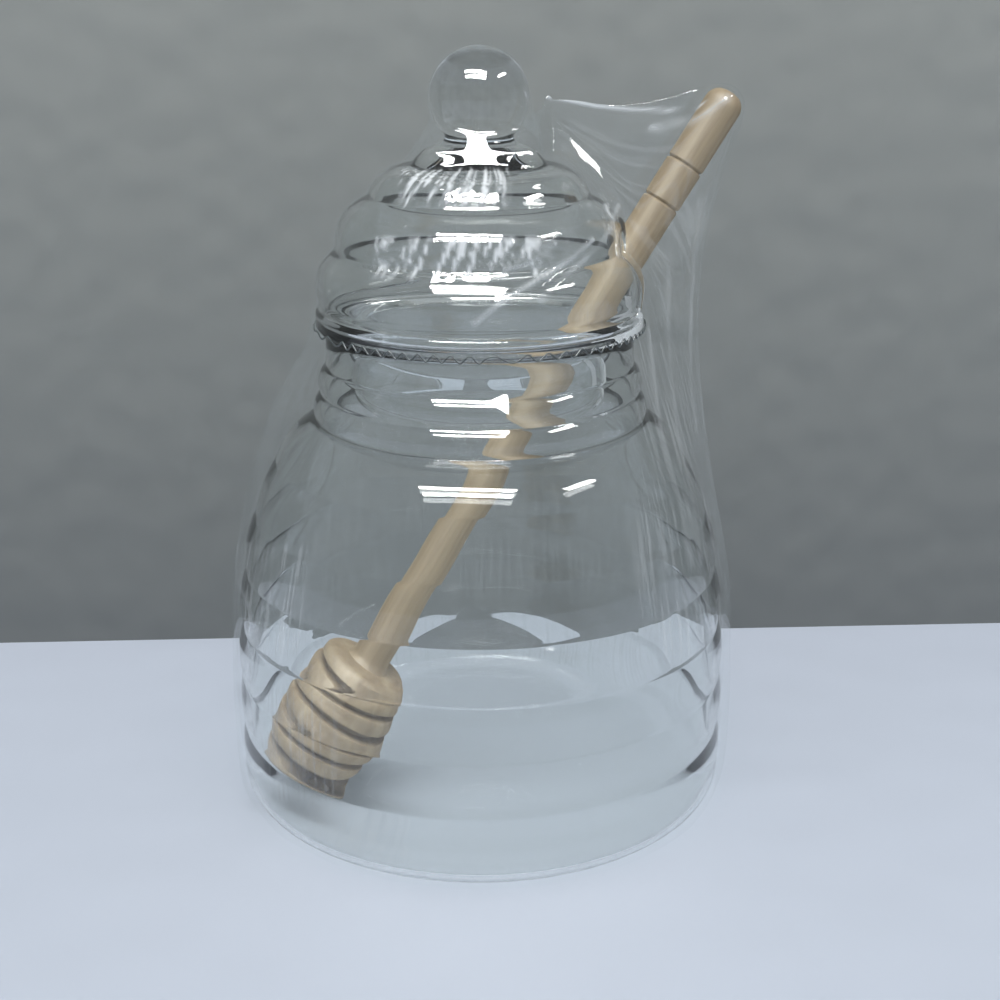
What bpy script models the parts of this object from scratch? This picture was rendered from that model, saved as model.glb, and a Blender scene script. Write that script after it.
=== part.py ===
"""Clear glass honey jar with ribbed walls, its domed lid, a turned wooden dipper, and a taut clear film.

Origin: centre of the jar's flat underside. +Z up. The dipper leans out over +X through a notch in the lid.
Sizes below are millimetres; the meshes are built in metres.
"""

import math

import bmesh
import bpy
import numpy as np
from mathutils import Matrix, Vector

MM = 0.001

# Jar: grooves between its ribs as (radius, height), and how far each rib stands out between two of them.
JAR_BASE_RADIUS = 44.5
JAR_HEEL = 6.0
JAR_GROOVES = (
    (50.5, 8.5),
    (50.0, 15.5),
    (50.1, 26.6),
    (49.4, 37.6),
    (48.2, 49.0),
    (46.0, 60.4),
    (41.3, 71.6),
    (33.0, 79.8),
    (31.9, 85.3),
    (30.7, 90.8),
)
JAR_BULGES = (0.3, 0.9, 1.2, 1.4, 1.6, 2.1, 0.7, 0.8, 0.8)
JAR_WALL = 2.2
JAR_LIP_OUTSIDE = [(30.6, 92.5), (30.6, 96.4), (30.2, 97.3)]
JAR_LIP_INSIDE = [(29.4, 97.6), (28.6, 97.2), (28.4, 96.0), (28.4, 92.5)]
JAR_INNER_FOOT = 16.0
JAR_INNER_FLOOR = [(47.9, 13.0), (47.6, 8.6), (45.6, 5.4), (42.0, 4.2), (0.0, 4.0)]

# Lid: the same for its dome, then the flange that sits on the jar's lip and the collar that hangs inside it.
LID_GROOVES = ((31.6, 103.6), (28.2, 113.4), (21.7, 123.6), (13.2, 129.5), (5.5, 132.8))
LID_BULGES = (1.9, 2.3, 2.0, 0.8)
LID_WALL = 2.2
FLANGE_RADIUS = 32.4
FLANGE_UNDERSIDE = 98.0
FLANGE_ROUNDING = 0.9
FLANGE_TOP = 101.6
COLLAR_RADIUS = 25.3
COLLAR_WALL = 2.0
COLLAR_BOTTOM = 84.0
COLLAR_ROUNDING = 0.5
THROAT = [(COLLAR_RADIUS - COLLAR_WALL, 97.5), (25.0, 100.4)]
CEILING_FOOT = 102.5
CEILING_HEAD = 127.0
DOME_CEILING = [(0.0, 129.6), (8.0, 128.9)]
KNOB_RADIUS = 9.6
KNOB_HEIGHT = 142.0
KNOB_FOOT_ANGLE = -52
NOTCH_HALF_WIDTH = 6.5
NOTCH_ARCH_HEIGHT = 111.5
NOTCH_FOOT = 78.0
NOTCH_INNER = 17.0
NOTCH_OUTER = 42.0

# Dipper: the middle of its two ends, and its outline along that line, measured from the head's end.
DIPPER_FOOT = Vector((-36.6, -15.4, 8.6))
DIPPER_TIP = Vector((48.2, 3.0, 142.7))
HEAD_LENGTH = 25.5
HEAD_MIDDLE_RADIUS = 11.2
HEAD_END_RADIUS = 8.8
HEAD_GROOVES = 6
HEAD_PITCH = 3.9
FIRST_GROOVE = 3.1
GROOVE_HALF_WIDTH = 0.65
GROOVE_FLOOR_SHARE = 0.8
GROOVE_DEPTH = 2.9
HEAD_FACE = [(0.0, 0.0), (5.6, 0.25), (7.9, 1.2)]
HEAD_EDGE = 0.6
SHAFT_RADIUS = 3.4
SHAFT_START = 62.0
SHAFT_END = 98.0
NECK_RADIUS = 3.9
NECK_FLARE = 0.6
NECK_LENGTH = 2.0
HANDLE_RADIUS = 3.75
HANDLE_START = 118.0
HANDLE_CAP = [(3.75, -3.2), (3.4, -1.6), (2.3, -0.4), (0.0, 0.0)]

# Film: how far its inner face stays off what it wraps, its thickness, and how its tension is shared.
FILM_CLEARANCE = 1.5
FILM_FAR_CLEARANCE = 1.7
FILM_WALL = 0.4
FILM_LINES = 38
FILM_CENTRE = (14.0, 0.0, 98.0)
FILM_CROWDING = 0.6
FILM_TOP_ROWS = 12
FILM_LEVELS = ((146.0, 125.0, 6), (125.0, 66.0, 6), (66.0, 6.0, 9), (6.0, 0.9, 2))
FILM_UPWARD_SHARE = 0.94
FILM_PASSES = 1200
FILM_RELAXATION = 0.9
FILM_LEAST_LEAN = 0.25
FILM_SLACK = 12.0
FILM_SEARCH = (2.0, 125.0, 0.5)
FILM_HANDLE_START = 60.0
FILM_FOLD = ((8.0, 0.0, 140.4), (30.0, 1.6, 138.2), (45.0, 2.7, 140.5))
FILM_EDGE_GAP = 1.1
FILM_EDGE_ANGLE = math.radians(-45)

ROUND = 36
DIPPER_ROUND = 16
RIB_STEPS = 3
RIB_INNER_STEPS = 2
RIB_FULLNESS = 0.8
HEEL_STEPS = 4
KNOB_STEPS = 9
ARCH_STEPS = 10


def material(name, colour, roughness, transmission):
    """A plain Principled material."""
    made = bpy.data.materials.new(name)
    made.use_nodes = True
    shader = made.node_tree.nodes["Principled BSDF"]
    shader.inputs["Base Color"].default_value = (*colour, 1.0)
    shader.inputs["Roughness"].default_value = roughness
    shader.inputs["Metallic"].default_value = 0.0
    shader.inputs["Transmission Weight"].default_value = transmission
    made.diffuse_color = (*colour, 1.0)
    return made


def ribbed(grooves, bulges, steps=RIB_STEPS):
    """Outline points through the grooves, with a rounded rib standing out between each two."""
    points = []
    for (r0, z0), (r1, z1), bulge in zip(grooves, grooves[1:], bulges):
        length = math.hypot(r1 - r0, z1 - z0)
        out = ((z1 - z0) / length, (r0 - r1) / length)
        for step in range(steps):
            along = step / steps
            lift = bulge * math.sin(math.pi * along) ** RIB_FULLNESS
            points.append((r0 + (r1 - r0) * along + out[0] * lift, z0 + (z1 - z0) * along + out[1] * lift))
    points.append(grooves[-1])
    return points


def set_in(points, wall):
    """The same outline, moved inwards by the wall."""
    moved = []
    for index, (r, z) in enumerate(points):
        before = points[max(index - 1, 0)]
        after = points[min(index + 1, len(points) - 1)]
        length = math.hypot(after[0] - before[0], after[1] - before[1])
        moved.append((r - wall * (after[1] - before[1]) / length, z - wall * (before[0] - after[0]) / length))
    return moved


def arc(centre, radius, start, end, steps):
    """Points on an arc in the outline's plane, angles in degrees from straight out."""
    angles = [math.radians(start + (end - start) * step / steps) for step in range(steps + 1)]
    return [(centre[0] + radius * math.cos(a), centre[1] + radius * math.sin(a)) for a in angles]


def jar_outside():
    """From the edge of the flat underside up to the lip."""
    heel = arc((JAR_BASE_RADIUS, JAR_HEEL), JAR_HEEL, -90, 0, HEEL_STEPS)
    return heel + ribbed(JAR_GROOVES, JAR_BULGES) + JAR_LIP_OUTSIDE


def jar_outline():
    """The whole section of the jar, outside and inside."""
    inside = set_in(ribbed(JAR_GROOVES[1:], JAR_BULGES[1:], RIB_INNER_STEPS), JAR_WALL)
    inside = [point for point in inside if point[1] > JAR_INNER_FOOT]
    return [(0.0, 0.0)] + jar_outside() + JAR_LIP_INSIDE + inside[::-1] + JAR_INNER_FLOOR


def lid_outside():
    """From the flange's underside up to the top of the knob."""
    flange = [
        (FLANGE_RADIUS - FLANGE_ROUNDING, FLANGE_UNDERSIDE),
        (FLANGE_RADIUS, FLANGE_UNDERSIDE + FLANGE_ROUNDING),
        (FLANGE_RADIUS, FLANGE_TOP),
    ]
    knob = arc((0.0, KNOB_HEIGHT), KNOB_RADIUS, KNOB_FOOT_ANGLE, 90, KNOB_STEPS)
    return flange + ribbed(LID_GROOVES, LID_BULGES) + knob[:-1] + [(0.0, KNOB_HEIGHT + KNOB_RADIUS)]


def lid_outline():
    """The whole section of the lid, from its ceiling down inside the collar and up again outside."""
    ceiling = set_in(ribbed(LID_GROOVES[:-1], LID_BULGES[:-1]), LID_WALL)
    ceiling = [point for point in ceiling if CEILING_FOOT < point[1] < CEILING_HEAD]
    collar_inside = COLLAR_RADIUS - COLLAR_WALL
    collar = [
        (collar_inside, COLLAR_BOTTOM + COLLAR_ROUNDING),
        (collar_inside + COLLAR_ROUNDING, COLLAR_BOTTOM),
        (COLLAR_RADIUS - COLLAR_ROUNDING, COLLAR_BOTTOM),
        (COLLAR_RADIUS, COLLAR_BOTTOM + COLLAR_ROUNDING),
        (COLLAR_RADIUS, FLANGE_UNDERSIDE),
    ]
    return DOME_CEILING + ceiling[::-1] + THROAT[::-1] + collar + lid_outside()


def dipper_outline():
    """The section of the dipper along its axis, from the head's face to the handle's end."""
    points = list(HEAD_FACE)
    middle = HEAD_LENGTH / 2
    for groove in range(HEAD_GROOVES):
        centre = FIRST_GROOVE + HEAD_PITCH * groove
        for side in (-1, 1):
            edge = centre + side * GROOVE_HALF_WIDTH
            across = (edge - middle) / middle
            radius = HEAD_MIDDLE_RADIUS - (HEAD_MIDDLE_RADIUS - HEAD_END_RADIUS) * across * across
            floor = (radius - GROOVE_DEPTH, centre + side * GROOVE_HALF_WIDTH * GROOVE_FLOOR_SHARE)
            points += [(radius, edge), floor][::-side]
    points += [(HEAD_END_RADIUS, HEAD_LENGTH - HEAD_EDGE), (HEAD_END_RADIUS - HEAD_EDGE, HEAD_LENGTH)]
    points += [(NECK_RADIUS + NECK_FLARE, HEAD_LENGTH), (NECK_RADIUS, HEAD_LENGTH + NECK_LENGTH)]
    points += [(SHAFT_RADIUS, SHAFT_START), (SHAFT_RADIUS, SHAFT_END), (HANDLE_RADIUS, HANDLE_START)]
    length = (DIPPER_TIP - DIPPER_FOOT).length
    return points + [(r, z + length) for r, z in HANDLE_CAP]


def turned(name, outline, segments=ROUND, placed=Matrix.Identity(4)):
    """Spins an outline about Z and puts the body in its place."""
    shape = bmesh.new()
    rim = [shape.verts.new((r * MM, 0.0, z * MM)) for r, z in outline]
    edges = [shape.edges.new(pair) for pair in zip(rim, rim[1:])]
    bmesh.ops.spin(
        shape,
        geom=rim + edges,
        cent=(0, 0, 0),
        axis=(0, 0, 1),
        angle=math.tau,
        steps=segments,
        use_merge=True,
    )
    bmesh.ops.remove_doubles(shape, verts=shape.verts, dist=1e-6)
    bmesh.ops.recalc_face_normals(shape, faces=shape.faces)
    bmesh.ops.transform(shape, matrix=placed, verts=shape.verts)
    return finished(name, shape)


def finished(name, shape):
    """Makes the shape an object in the scene."""
    mesh = bpy.data.meshes.new(name)
    shape.to_mesh(mesh)
    shape.free()
    mesh.polygons.foreach_set("use_smooth", [True] * len(mesh.polygons))
    made = bpy.data.objects.new(name, mesh)
    bpy.context.scene.collection.objects.link(made)
    return made


def dipper_place():
    """Stands the outline's axis on the line from the dipper's foot to its tip."""
    along = (DIPPER_TIP - DIPPER_FOOT).normalized()
    turn = Vector((0, 0, 1)).rotation_difference(along).to_matrix().to_4x4()
    return Matrix.Translation(DIPPER_FOOT * MM) @ turn


def notch_cutter():
    """A round-topped block reaching out along +X through the collar, the flange and the dome."""
    shape = bmesh.new()
    arch = arc((0.0, NOTCH_ARCH_HEIGHT), NOTCH_HALF_WIDTH, 0, 180, ARCH_STEPS)
    section = [(NOTCH_HALF_WIDTH, NOTCH_FOOT)] + arch + [(-NOTCH_HALF_WIDTH, NOTCH_FOOT)]
    near = [shape.verts.new((NOTCH_INNER * MM, y * MM, z * MM)) for y, z in section]
    far = [shape.verts.new((NOTCH_OUTER * MM, y * MM, z * MM)) for y, z in section]
    shape.faces.new(near[::-1])
    shape.faces.new(far)
    for index in range(len(section)):
        after = (index + 1) % len(section)
        shape.faces.new((near[index], near[after], far[after], far[index]))
    bmesh.ops.recalc_face_normals(shape, faces=shape.faces)
    cutter = finished("notch_cutter", shape)
    cutter.hide_render = True
    cutter.display_type = "WIRE"
    return cutter


def cut(target, cutter):
    """Takes the cutter out of the target for good."""
    step = target.modifiers.new("notch", "BOOLEAN")
    step.operation = "DIFFERENCE"
    step.solver = "EXACT"
    step.object = cutter


def wrapped_outline():
    """The outline the film lies on: the jar up to its lip, then the lid."""
    return np.array(jar_outside() + lid_outside())


def off_outline(points, outline):
    """How far each point is outside the turned outline, negative inside it."""
    flat = np.stack([np.hypot(points[:, 0], points[:, 1]), points[:, 2]], axis=1)
    start, run = outline[:-1], np.diff(outline, axis=0)
    share = ((flat[:, None] - start) * run).sum(2) / (run * run).sum(1)
    gap = flat[:, None] - (start + np.clip(share, 0, 1)[..., None] * run)
    length = np.linalg.norm(gap, axis=2)
    nearest = length.argmin(1)
    rows = np.arange(len(points))
    gap, run = gap[rows, nearest], run[nearest]
    return np.where(gap[:, 0] * run[:, 1] - gap[:, 1] * run[:, 0] >= 0, 1, -1) * length[rows, nearest]


def off_rod(points, low, high, radius):
    """How far each point is off a straight rod with round ends."""
    run = high - low
    share = np.clip(((points - low) @ run) / (run @ run), 0, 1)
    return np.linalg.norm(points - (low + share[:, None] * run), axis=1) - radius


def off_handle(points):
    """How far each point is off the dipper's handle, or off the fold that stands between it and the knob."""
    foot, tip = np.array(DIPPER_FOOT), np.array(DIPPER_TIP)
    along = (tip - foot) / np.linalg.norm(tip - foot)
    nearest = off_rod(points, foot + along * FILM_HANDLE_START, tip - along * HANDLE_RADIUS, HANDLE_RADIUS)
    for start, end in zip(FILM_FOLD, FILM_FOLD[1:]):
        nearest = np.minimum(nearest, off_rod(points, np.array(start), np.array(end), 0.0))
    return nearest


def film_rays():
    """Directions from a point inside the film, from straight up to the lower edge's circle."""
    turn = np.arange(FILM_LINES) / FILM_LINES
    azimuth = math.tau * turn - FILM_CROWDING * np.sin(math.tau * turn)
    radius = JAR_BASE_RADIUS + (JAR_HEEL + FILM_EDGE_GAP) * math.cos(FILM_EDGE_ANGLE)
    level = JAR_HEEL + (JAR_HEEL + FILM_EDGE_GAP) * math.sin(FILM_EDGE_ANGLE)
    beside = FILM_CENTRE[0] * np.cos(azimuth)
    reach = np.sqrt(beside**2 - FILM_CENTRE[0] ** 2 + radius**2) - beside
    top = np.linspace(0, 1, FILM_TOP_ROWS)
    levels = [start + (end - start) * step / rows for start, end, rows in FILM_LEVELS for step in range(rows)]
    heights = np.concatenate([np.full(FILM_TOP_ROWS, levels[0]), levels[1:], [level]]) - FILM_CENTRE[2]
    shares = np.concatenate([top, np.ones(len(heights) - FILM_TOP_ROWS)])
    across = np.stack([np.cos(azimuth), np.sin(azimuth)], axis=1)
    flat = shares[:, None, None] * reach[None, :, None] * across
    aims = np.concatenate([flat, np.broadcast_to(heights[:, None, None], (*flat.shape[:2], 1))], axis=2)
    length = np.linalg.norm(aims, axis=2)
    return aims / length[..., None], length[-1]


def least_reach(rays):
    """How far out along each ray the film has to stay, to be clear of the glass and the handle."""
    outline = wrapped_outline()
    centre = np.array(FILM_CENTRE)
    away = 0.5 - 0.5 * rays[:, 0] / np.maximum(np.hypot(rays[:, 0], rays[:, 1]), 1e-9)
    clearance = FILM_CLEARANCE + (FILM_FAR_CLEARANCE - FILM_CLEARANCE) * away
    least = np.zeros(len(rays))
    for reach in np.arange(*FILM_SEARCH):
        spots = centre + rays * reach
        inside = np.minimum(off_outline(spots, outline), off_handle(spots)) < clearance
        least = np.where(inside, reach + FILM_SEARCH[2] / 2, least)
    return least


def film_sheet():
    """Rows of points, from the lower edge up to the top, of a taut skin drawn over glass and handle."""
    rays, edge = film_rays()
    centre = np.array(FILM_CENTRE)
    least = least_reach(rays.reshape(-1, 3)).reshape(rays.shape[:2])
    reach = least + FILM_SLACK
    reach[-1] = edge
    sheet = centre + rays * reach[..., None]
    for _ in range(FILM_PASSES):
        down, up = sheet[2:] - sheet[1:-1], sheet[:-2] - sheet[1:-1]
        left = np.roll(sheet, 1, axis=1)[1:-1] - sheet[1:-1]
        right = np.roll(sheet, -1, axis=1)[1:-1] - sheet[1:-1]
        pull = np.zeros_like(down)
        total = 0.0
        for share, (one, two) in ((FILM_UPWARD_SHARE, (down, up)), (1 - FILM_UPWARD_SHARE, (left, right))):
            first, second = np.linalg.norm(one, axis=2), np.linalg.norm(two, axis=2)
            weight = 2 * share / (first + second)
            pull += weight[..., None] * (one / first[..., None] + two / second[..., None])
            total = total + weight * (1 / first + 1 / second)
        facing = np.cross(right - left, up - down)
        facing /= np.linalg.norm(facing, axis=2)[..., None]
        lean = np.maximum((facing * rays[1:-1]).sum(2), FILM_LEAST_LEAN)
        reach[1:-1] += FILM_RELAXATION * (pull * facing).sum(2) / total / lean
        reach[0] = (reach[1] * rays[1, :, 2]).mean()
        reach[:-1] = np.maximum(reach, least)[:-1]
        reach[0] = reach[0].max()
        sheet = centre + rays * reach[..., None]
    return sheet[::-1]


def film_body():
    """The sheet given its thickness, open at the lower edge."""
    sheet = film_sheet()
    up = np.zeros_like(sheet)
    up[1:-1], up[0], up[-1] = sheet[2:] - sheet[:-2], sheet[1] - sheet[0], sheet[-1] - sheet[-2]
    around = np.roll(sheet, -1, axis=1) - np.roll(sheet, 1, axis=1)
    out = np.cross(around, up)
    out[-1] = (0, 0, 1)
    out /= np.linalg.norm(out, axis=2)[..., None]
    shape = bmesh.new()
    for skin, facing in ((sheet, -1), (sheet + out * FILM_WALL, 1)):
        rows = [[shape.verts.new(Vector(point) * MM) for point in row] for row in skin[:-1]]
        pole = shape.verts.new(Vector(skin[-1, 0]) * MM)
        for line in range(FILM_LINES):
            after = (line + 1) % FILM_LINES
            for low, high in zip(rows, rows[1:]):
                shape.faces.new((low[line], low[after], high[after], high[line])[::facing])
            shape.faces.new((rows[-1][line], rows[-1][after], pole)[::facing])
        if facing < 0:
            inner_edge = rows[0]
    for line in range(FILM_LINES):
        after = (line + 1) % FILM_LINES
        shape.faces.new((inner_edge[line], inner_edge[after], rows[0][after], rows[0][line]))
    bmesh.ops.recalc_face_normals(shape, faces=shape.faces)
    return finished("film_wrap", shape)


def build():
    """Clears the scene, then makes the four pieces and their materials."""
    for old in list(bpy.data.objects):
        bpy.data.objects.remove(old)
    glass = material("clear_glass", (0.90, 0.94, 0.93), 0.03, 1.0)
    wood = material("pale_wood", (0.62, 0.50, 0.33), 0.6, 0.0)
    film = material("clear_film", (0.93, 0.95, 0.95), 0.08, 1.0)
    jar = turned("jar", jar_outline())
    jar.data.materials.append(glass)
    lid = turned("lid", lid_outline())
    lid.data.materials.append(glass)
    cut(lid, notch_cutter())
    dipper = turned("dipper", dipper_outline(), DIPPER_ROUND, dipper_place())
    dipper.data.materials.append(wood)
    film_body().data.materials.append(film)


build()
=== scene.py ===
"""Looks of the clear ribbed honey jar, its domed lid, the turned wooden dipper and the taut clear film.

Sizes are millimetres in the classes and become metres when a mesh is made.
"""

import sys
import logging
import math
from dataclasses import dataclass, field
from enum import Enum
from typing import Optional, Sequence

import bmesh
import bpy
import numpy as np
from mathutils import Matrix, Vector
from mathutils.bvhtree import BVHTree


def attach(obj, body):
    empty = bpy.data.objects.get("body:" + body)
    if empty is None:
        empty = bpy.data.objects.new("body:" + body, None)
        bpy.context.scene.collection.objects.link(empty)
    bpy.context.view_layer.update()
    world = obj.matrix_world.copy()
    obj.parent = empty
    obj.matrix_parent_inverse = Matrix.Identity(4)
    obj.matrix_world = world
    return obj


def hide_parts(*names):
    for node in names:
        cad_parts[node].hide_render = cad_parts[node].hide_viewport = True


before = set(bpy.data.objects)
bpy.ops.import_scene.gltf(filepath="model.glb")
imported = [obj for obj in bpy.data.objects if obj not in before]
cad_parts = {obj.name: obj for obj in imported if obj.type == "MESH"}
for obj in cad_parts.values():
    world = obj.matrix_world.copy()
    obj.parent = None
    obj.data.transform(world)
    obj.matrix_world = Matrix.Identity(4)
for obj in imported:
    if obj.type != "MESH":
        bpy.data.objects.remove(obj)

MM = 0.001
SENSOR = 36.0  # width of the camera's sensor in millimetres
PICTURE = 1000.0  # side of the picture in pixels
WELD = 2e-6
SLIVER = 1e-6
CREASE_ANGLE = 38.0
FINE_CLOSENESS = 6.0  # how many times closer the fine unevenness lies than the slow one
FAR = 0.2  # where rays start that look inwards, in metres from the film's middle
log = logging.getLogger("honey_jar")
Outline = list[tuple[float, float]]


class Shading(Enum):
    """How a mesh turns its corners."""

    ROUND = "round"
    CREASED = "creased"


class Cast(Enum):
    """Which way a run of film wrinkles lies."""

    UPRIGHT = "upright"
    LEANING = "leaning"


@dataclass
class Wiring:
    """Places nodes in a tree and joins them.

    Args:
        tree: the node tree that is being drawn.
    """

    tree: bpy.types.NodeTree

    def add(self, kind: str, values: Optional[dict] = None, **settings: object) -> bpy.types.Node:
        """Adds a node.

        Args:
            kind: the node's type name.
            values: for each input, by name or number, a plain value or the socket that feeds it.
            settings: the node's own options.

        Returns:
            The new node.
        """
        node = self.tree.nodes.new(kind)
        for name, value in settings.items():
            setattr(node, name, value)
        for key, value in (values or {}).items():
            if isinstance(value, bpy.types.NodeSocket):
                self.tree.links.new(value, node.inputs[key])
            else:
                node.inputs[key].default_value = value
        return node

    def math(self, operation: str, *values: object) -> bpy.types.NodeSocket:
        """Adds a math node and returns its result socket."""
        chosen = dict(enumerate(values))
        return self.add("ShaderNodeMath", chosen, operation=operation).outputs[0]

    def join(self, source: bpy.types.NodeSocket, target: bpy.types.NodeSocket) -> None:
        """Joins two sockets."""
        self.tree.links.new(source, target)

    def blend(
        self, share: bpy.types.NodeSocket, low: tuple[float, float, float], high: tuple[float, float, float]
    ) -> bpy.types.NodeSocket:
        """Mixes two plain colours by a share and returns the result socket."""
        values = {0: share, 6: (*low, 1.0), 7: (*high, 1.0)}
        return self.add("ShaderNodeMix", values, data_type="RGBA").outputs[2]

    def dress(self, last: bpy.types.NodeSocket, start: bpy.types.Node, end: bpy.types.Node) -> None:
        """Ends a Geometry Nodes tree: makes its instances real and sets the material.

        Args:
            last: the geometry so far.
            start: the tree's input node, with a Material socket.
            end: the tree's output node.
        """
        real = self.add("GeometryNodeRealizeInstances", {0: last}).outputs[0]
        values = {"Geometry": real, "Material": start.outputs["Material"]}
        self.join(self.add("GeometryNodeSetMaterial", values).outputs[0], end.inputs[0])


def group_of(name: str, kind: str, takes: dict, gives: dict) -> tuple[bpy.types.NodeTree, Wiring]:
    """Starts a node group with named sockets.

    Args:
        name: the group's name.
        kind: the tree's type.
        takes: each input's name with its socket type and plain value.
        gives: each output's name with its socket type.

    Returns:
        The group and the wiring that draws it.
    """
    tree = bpy.data.node_groups.new(name, kind)
    for label, (socket_type, value) in takes.items():
        made = tree.interface.new_socket(name=label, in_out="INPUT", socket_type=socket_type)
        if value is not None:
            made.default_value = value
    for label, socket_type in gives.items():
        tree.interface.new_socket(name=label, in_out="OUTPUT", socket_type=socket_type)
    return tree, Wiring(tree)


def new_material(name: str, bare: bool = False) -> tuple[bpy.types.Material, Wiring]:
    """Starts a material.

    Args:
        name: the material's name.
        bare: True to start it with no nodes.

    Returns:
        The material and the wiring that draws it.
    """
    made = bpy.data.materials.new(name)
    made.use_nodes = True
    if bare:
        made.node_tree.nodes.clear()
    return made, Wiring(made.node_tree)


def surface_wave_group() -> bpy.types.NodeTree:
    """Builds the shader group for the slow unevenness of blown glass and drawn film.

    Returns:
        A group that puts out a height and a mask.
    """
    takes = {
        "Vector": ("NodeSocketVector", (0.0, 0.0, 0.0)),
        "Scale": ("NodeSocketFloat", 40.0),
        "Fine Share": ("NodeSocketFloat", 0.2),
    }
    gives = {"Height": "NodeSocketFloat", "Mask": "NodeSocketFloat"}
    tree, wire = group_of("surface_wave", "ShaderNodeTree", takes, gives)
    start = wire.add("NodeGroupInput")
    end = wire.add("NodeGroupOutput")
    place, scale = start.outputs["Vector"], start.outputs["Scale"]
    slow = wire.add("ShaderNodeTexNoise", {"Vector": place, "Scale": scale, "Detail": 0.0})
    closer = wire.math("MULTIPLY", scale, FINE_CLOSENESS)
    fine = wire.add("ShaderNodeTexNoise", {"Vector": place, "Scale": closer, "Detail": 0.0})
    share = wire.math("MULTIPLY", fine.outputs[0], start.outputs["Fine Share"])
    wire.join(wire.math("ADD", slow.outputs[0], share), end.inputs["Height"])
    wire.join(fine.outputs[0], end.inputs["Mask"])
    return tree


def wood_grain_group() -> bpy.types.NodeTree:
    """Builds the shader group for the grain of pale turned wood, drawn along the group's own Z.

    Returns:
        A group that puts out a mask from pale to dark and a height.
    """
    takes = {
        "Vector": ("NodeSocketVector", (0.0, 0.0, 0.0)),
        "Across": ("NodeSocketFloat", 900.0),
        "Along": ("NodeSocketFloat", 45.0),
        "Fleck": ("NodeSocketFloat", 0.35),
    }
    gives = {"Mask": "NodeSocketFloat", "Height": "NodeSocketFloat"}
    tree, wire = group_of("wood_grain", "ShaderNodeTree", takes, gives)
    start = wire.add("NodeGroupInput")
    end = wire.add("NodeGroupOutput")
    across = start.outputs["Across"]
    scale = wire.add("ShaderNodeCombineXYZ", {0: across, 1: across, 2: start.outputs["Along"]})
    stretch = {0: start.outputs["Vector"], 1: scale.outputs[0]}
    place = wire.add("ShaderNodeVectorMath", stretch, operation="MULTIPLY").outputs[0]
    fibre = wire.add("ShaderNodeTexNoise", {"Vector": place, "Scale": 1.0, "Detail": 3.0, "Roughness": 0.6})
    slow = wire.add("ShaderNodeTexNoise", {"Vector": place, "Scale": 0.17, "Detail": 2.0, "Distortion": 0.6})
    ring = wire.math("MULTIPLY", slow.outputs[0], 0.65)
    mixed = wire.math("ADD", wire.math("MULTIPLY", fibre.outputs[0], start.outputs["Fleck"]), ring)
    wire.join(mixed, end.inputs["Mask"])
    wire.join(fibre.outputs[0], end.inputs["Height"])
    return tree


def turning_tree() -> bpy.types.NodeTree:
    """Builds the Geometry Nodes tree that turns an outline about Z, as glass is blown in a turned mould.

    Returns:
        The tree, with inputs for the number of segments, how uneven the wall is, and its material.
    """
    takes = {
        "Geometry": ("NodeSocketGeometry", None),
        "Segments": ("NodeSocketInt", 96),
        "Unevenness": ("NodeSocketFloat", 0.0),
        "Seed": ("NodeSocketFloat", 1.0),
        "Material": ("NodeSocketMaterial", None),
    }
    tree, wire = group_of("turned_outline", "GeometryNodeTree", takes, {"Geometry": "NodeSocketGeometry"})
    start = wire.add("NodeGroupInput")
    end = wire.add("NodeGroupOutput")
    count = wire.add("GeometryNodeAttributeDomainSize", {0: start.outputs["Geometry"]}, component="MESH")
    lines = wire.math("ADD", start.outputs["Segments"], 1.0)
    grid = wire.add("GeometryNodeMeshGrid", {"Vertices X": count.outputs["Point Count"], "Vertices Y": lines})
    index = wire.add("GeometryNodeInputIndex").outputs[0]
    row = wire.math("FLOOR", wire.math("DIVIDE", wire.math("ADD", index, 0.5), lines))
    line = wire.math("SUBTRACT", index, wire.math("MULTIPLY", row, lines))
    turn = wire.math("DIVIDE", line, start.outputs["Segments"])
    place = wire.add("GeometryNodeInputPosition").outputs[0]
    picked = wire.add("GeometryNodeSampleIndex", data_type="FLOAT_VECTOR", domain="POINT")
    wire.join(start.outputs["Geometry"], picked.inputs[0])
    wire.join(place, picked.inputs["Value"])
    wire.join(row, picked.inputs["Index"])
    parts = wire.add("ShaderNodeSeparateXYZ", {0: picked.outputs[0]})
    angle = wire.math("MULTIPLY", wire.math("FRACT", wire.math("ADD", turn, 1e-6)), math.tau)
    cosine, sine = wire.math("COSINE", angle), wire.math("SINE", angle)
    climb = wire.math("MULTIPLY", parts.outputs[2], 45.0)
    walk = wire.add("ShaderNodeCombineXYZ", {0: cosine, 1: sine, 2: climb})
    noise = wire.add(
        "ShaderNodeTexNoise",
        {"Vector": walk.outputs[0], "W": start.outputs["Seed"], "Scale": 1.1, "Detail": 1.0},
        noise_dimensions="4D",
    )
    centred = wire.math("SUBTRACT", noise.outputs[0], 0.5)
    swell = wire.math("ADD", 1.0, wire.math("MULTIPLY", centred, start.outputs["Unevenness"]))
    radius = wire.math("MULTIPLY", parts.outputs[0], swell)
    x, y = wire.math("MULTIPLY", radius, cosine), wire.math("MULTIPLY", radius, sine)
    spot = wire.add("ShaderNodeCombineXYZ", {0: x, 1: y, 2: parts.outputs[2]}).outputs[0]
    moved = wire.add("GeometryNodeSetPosition", {"Geometry": grid.outputs["Mesh"], "Position": spot})
    closed = wire.add("GeometryNodeMergeByDistance", {"Geometry": moved.outputs[0], "Distance": WELD})
    wire.dress(closed.outputs[0], start, end)
    return tree


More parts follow.
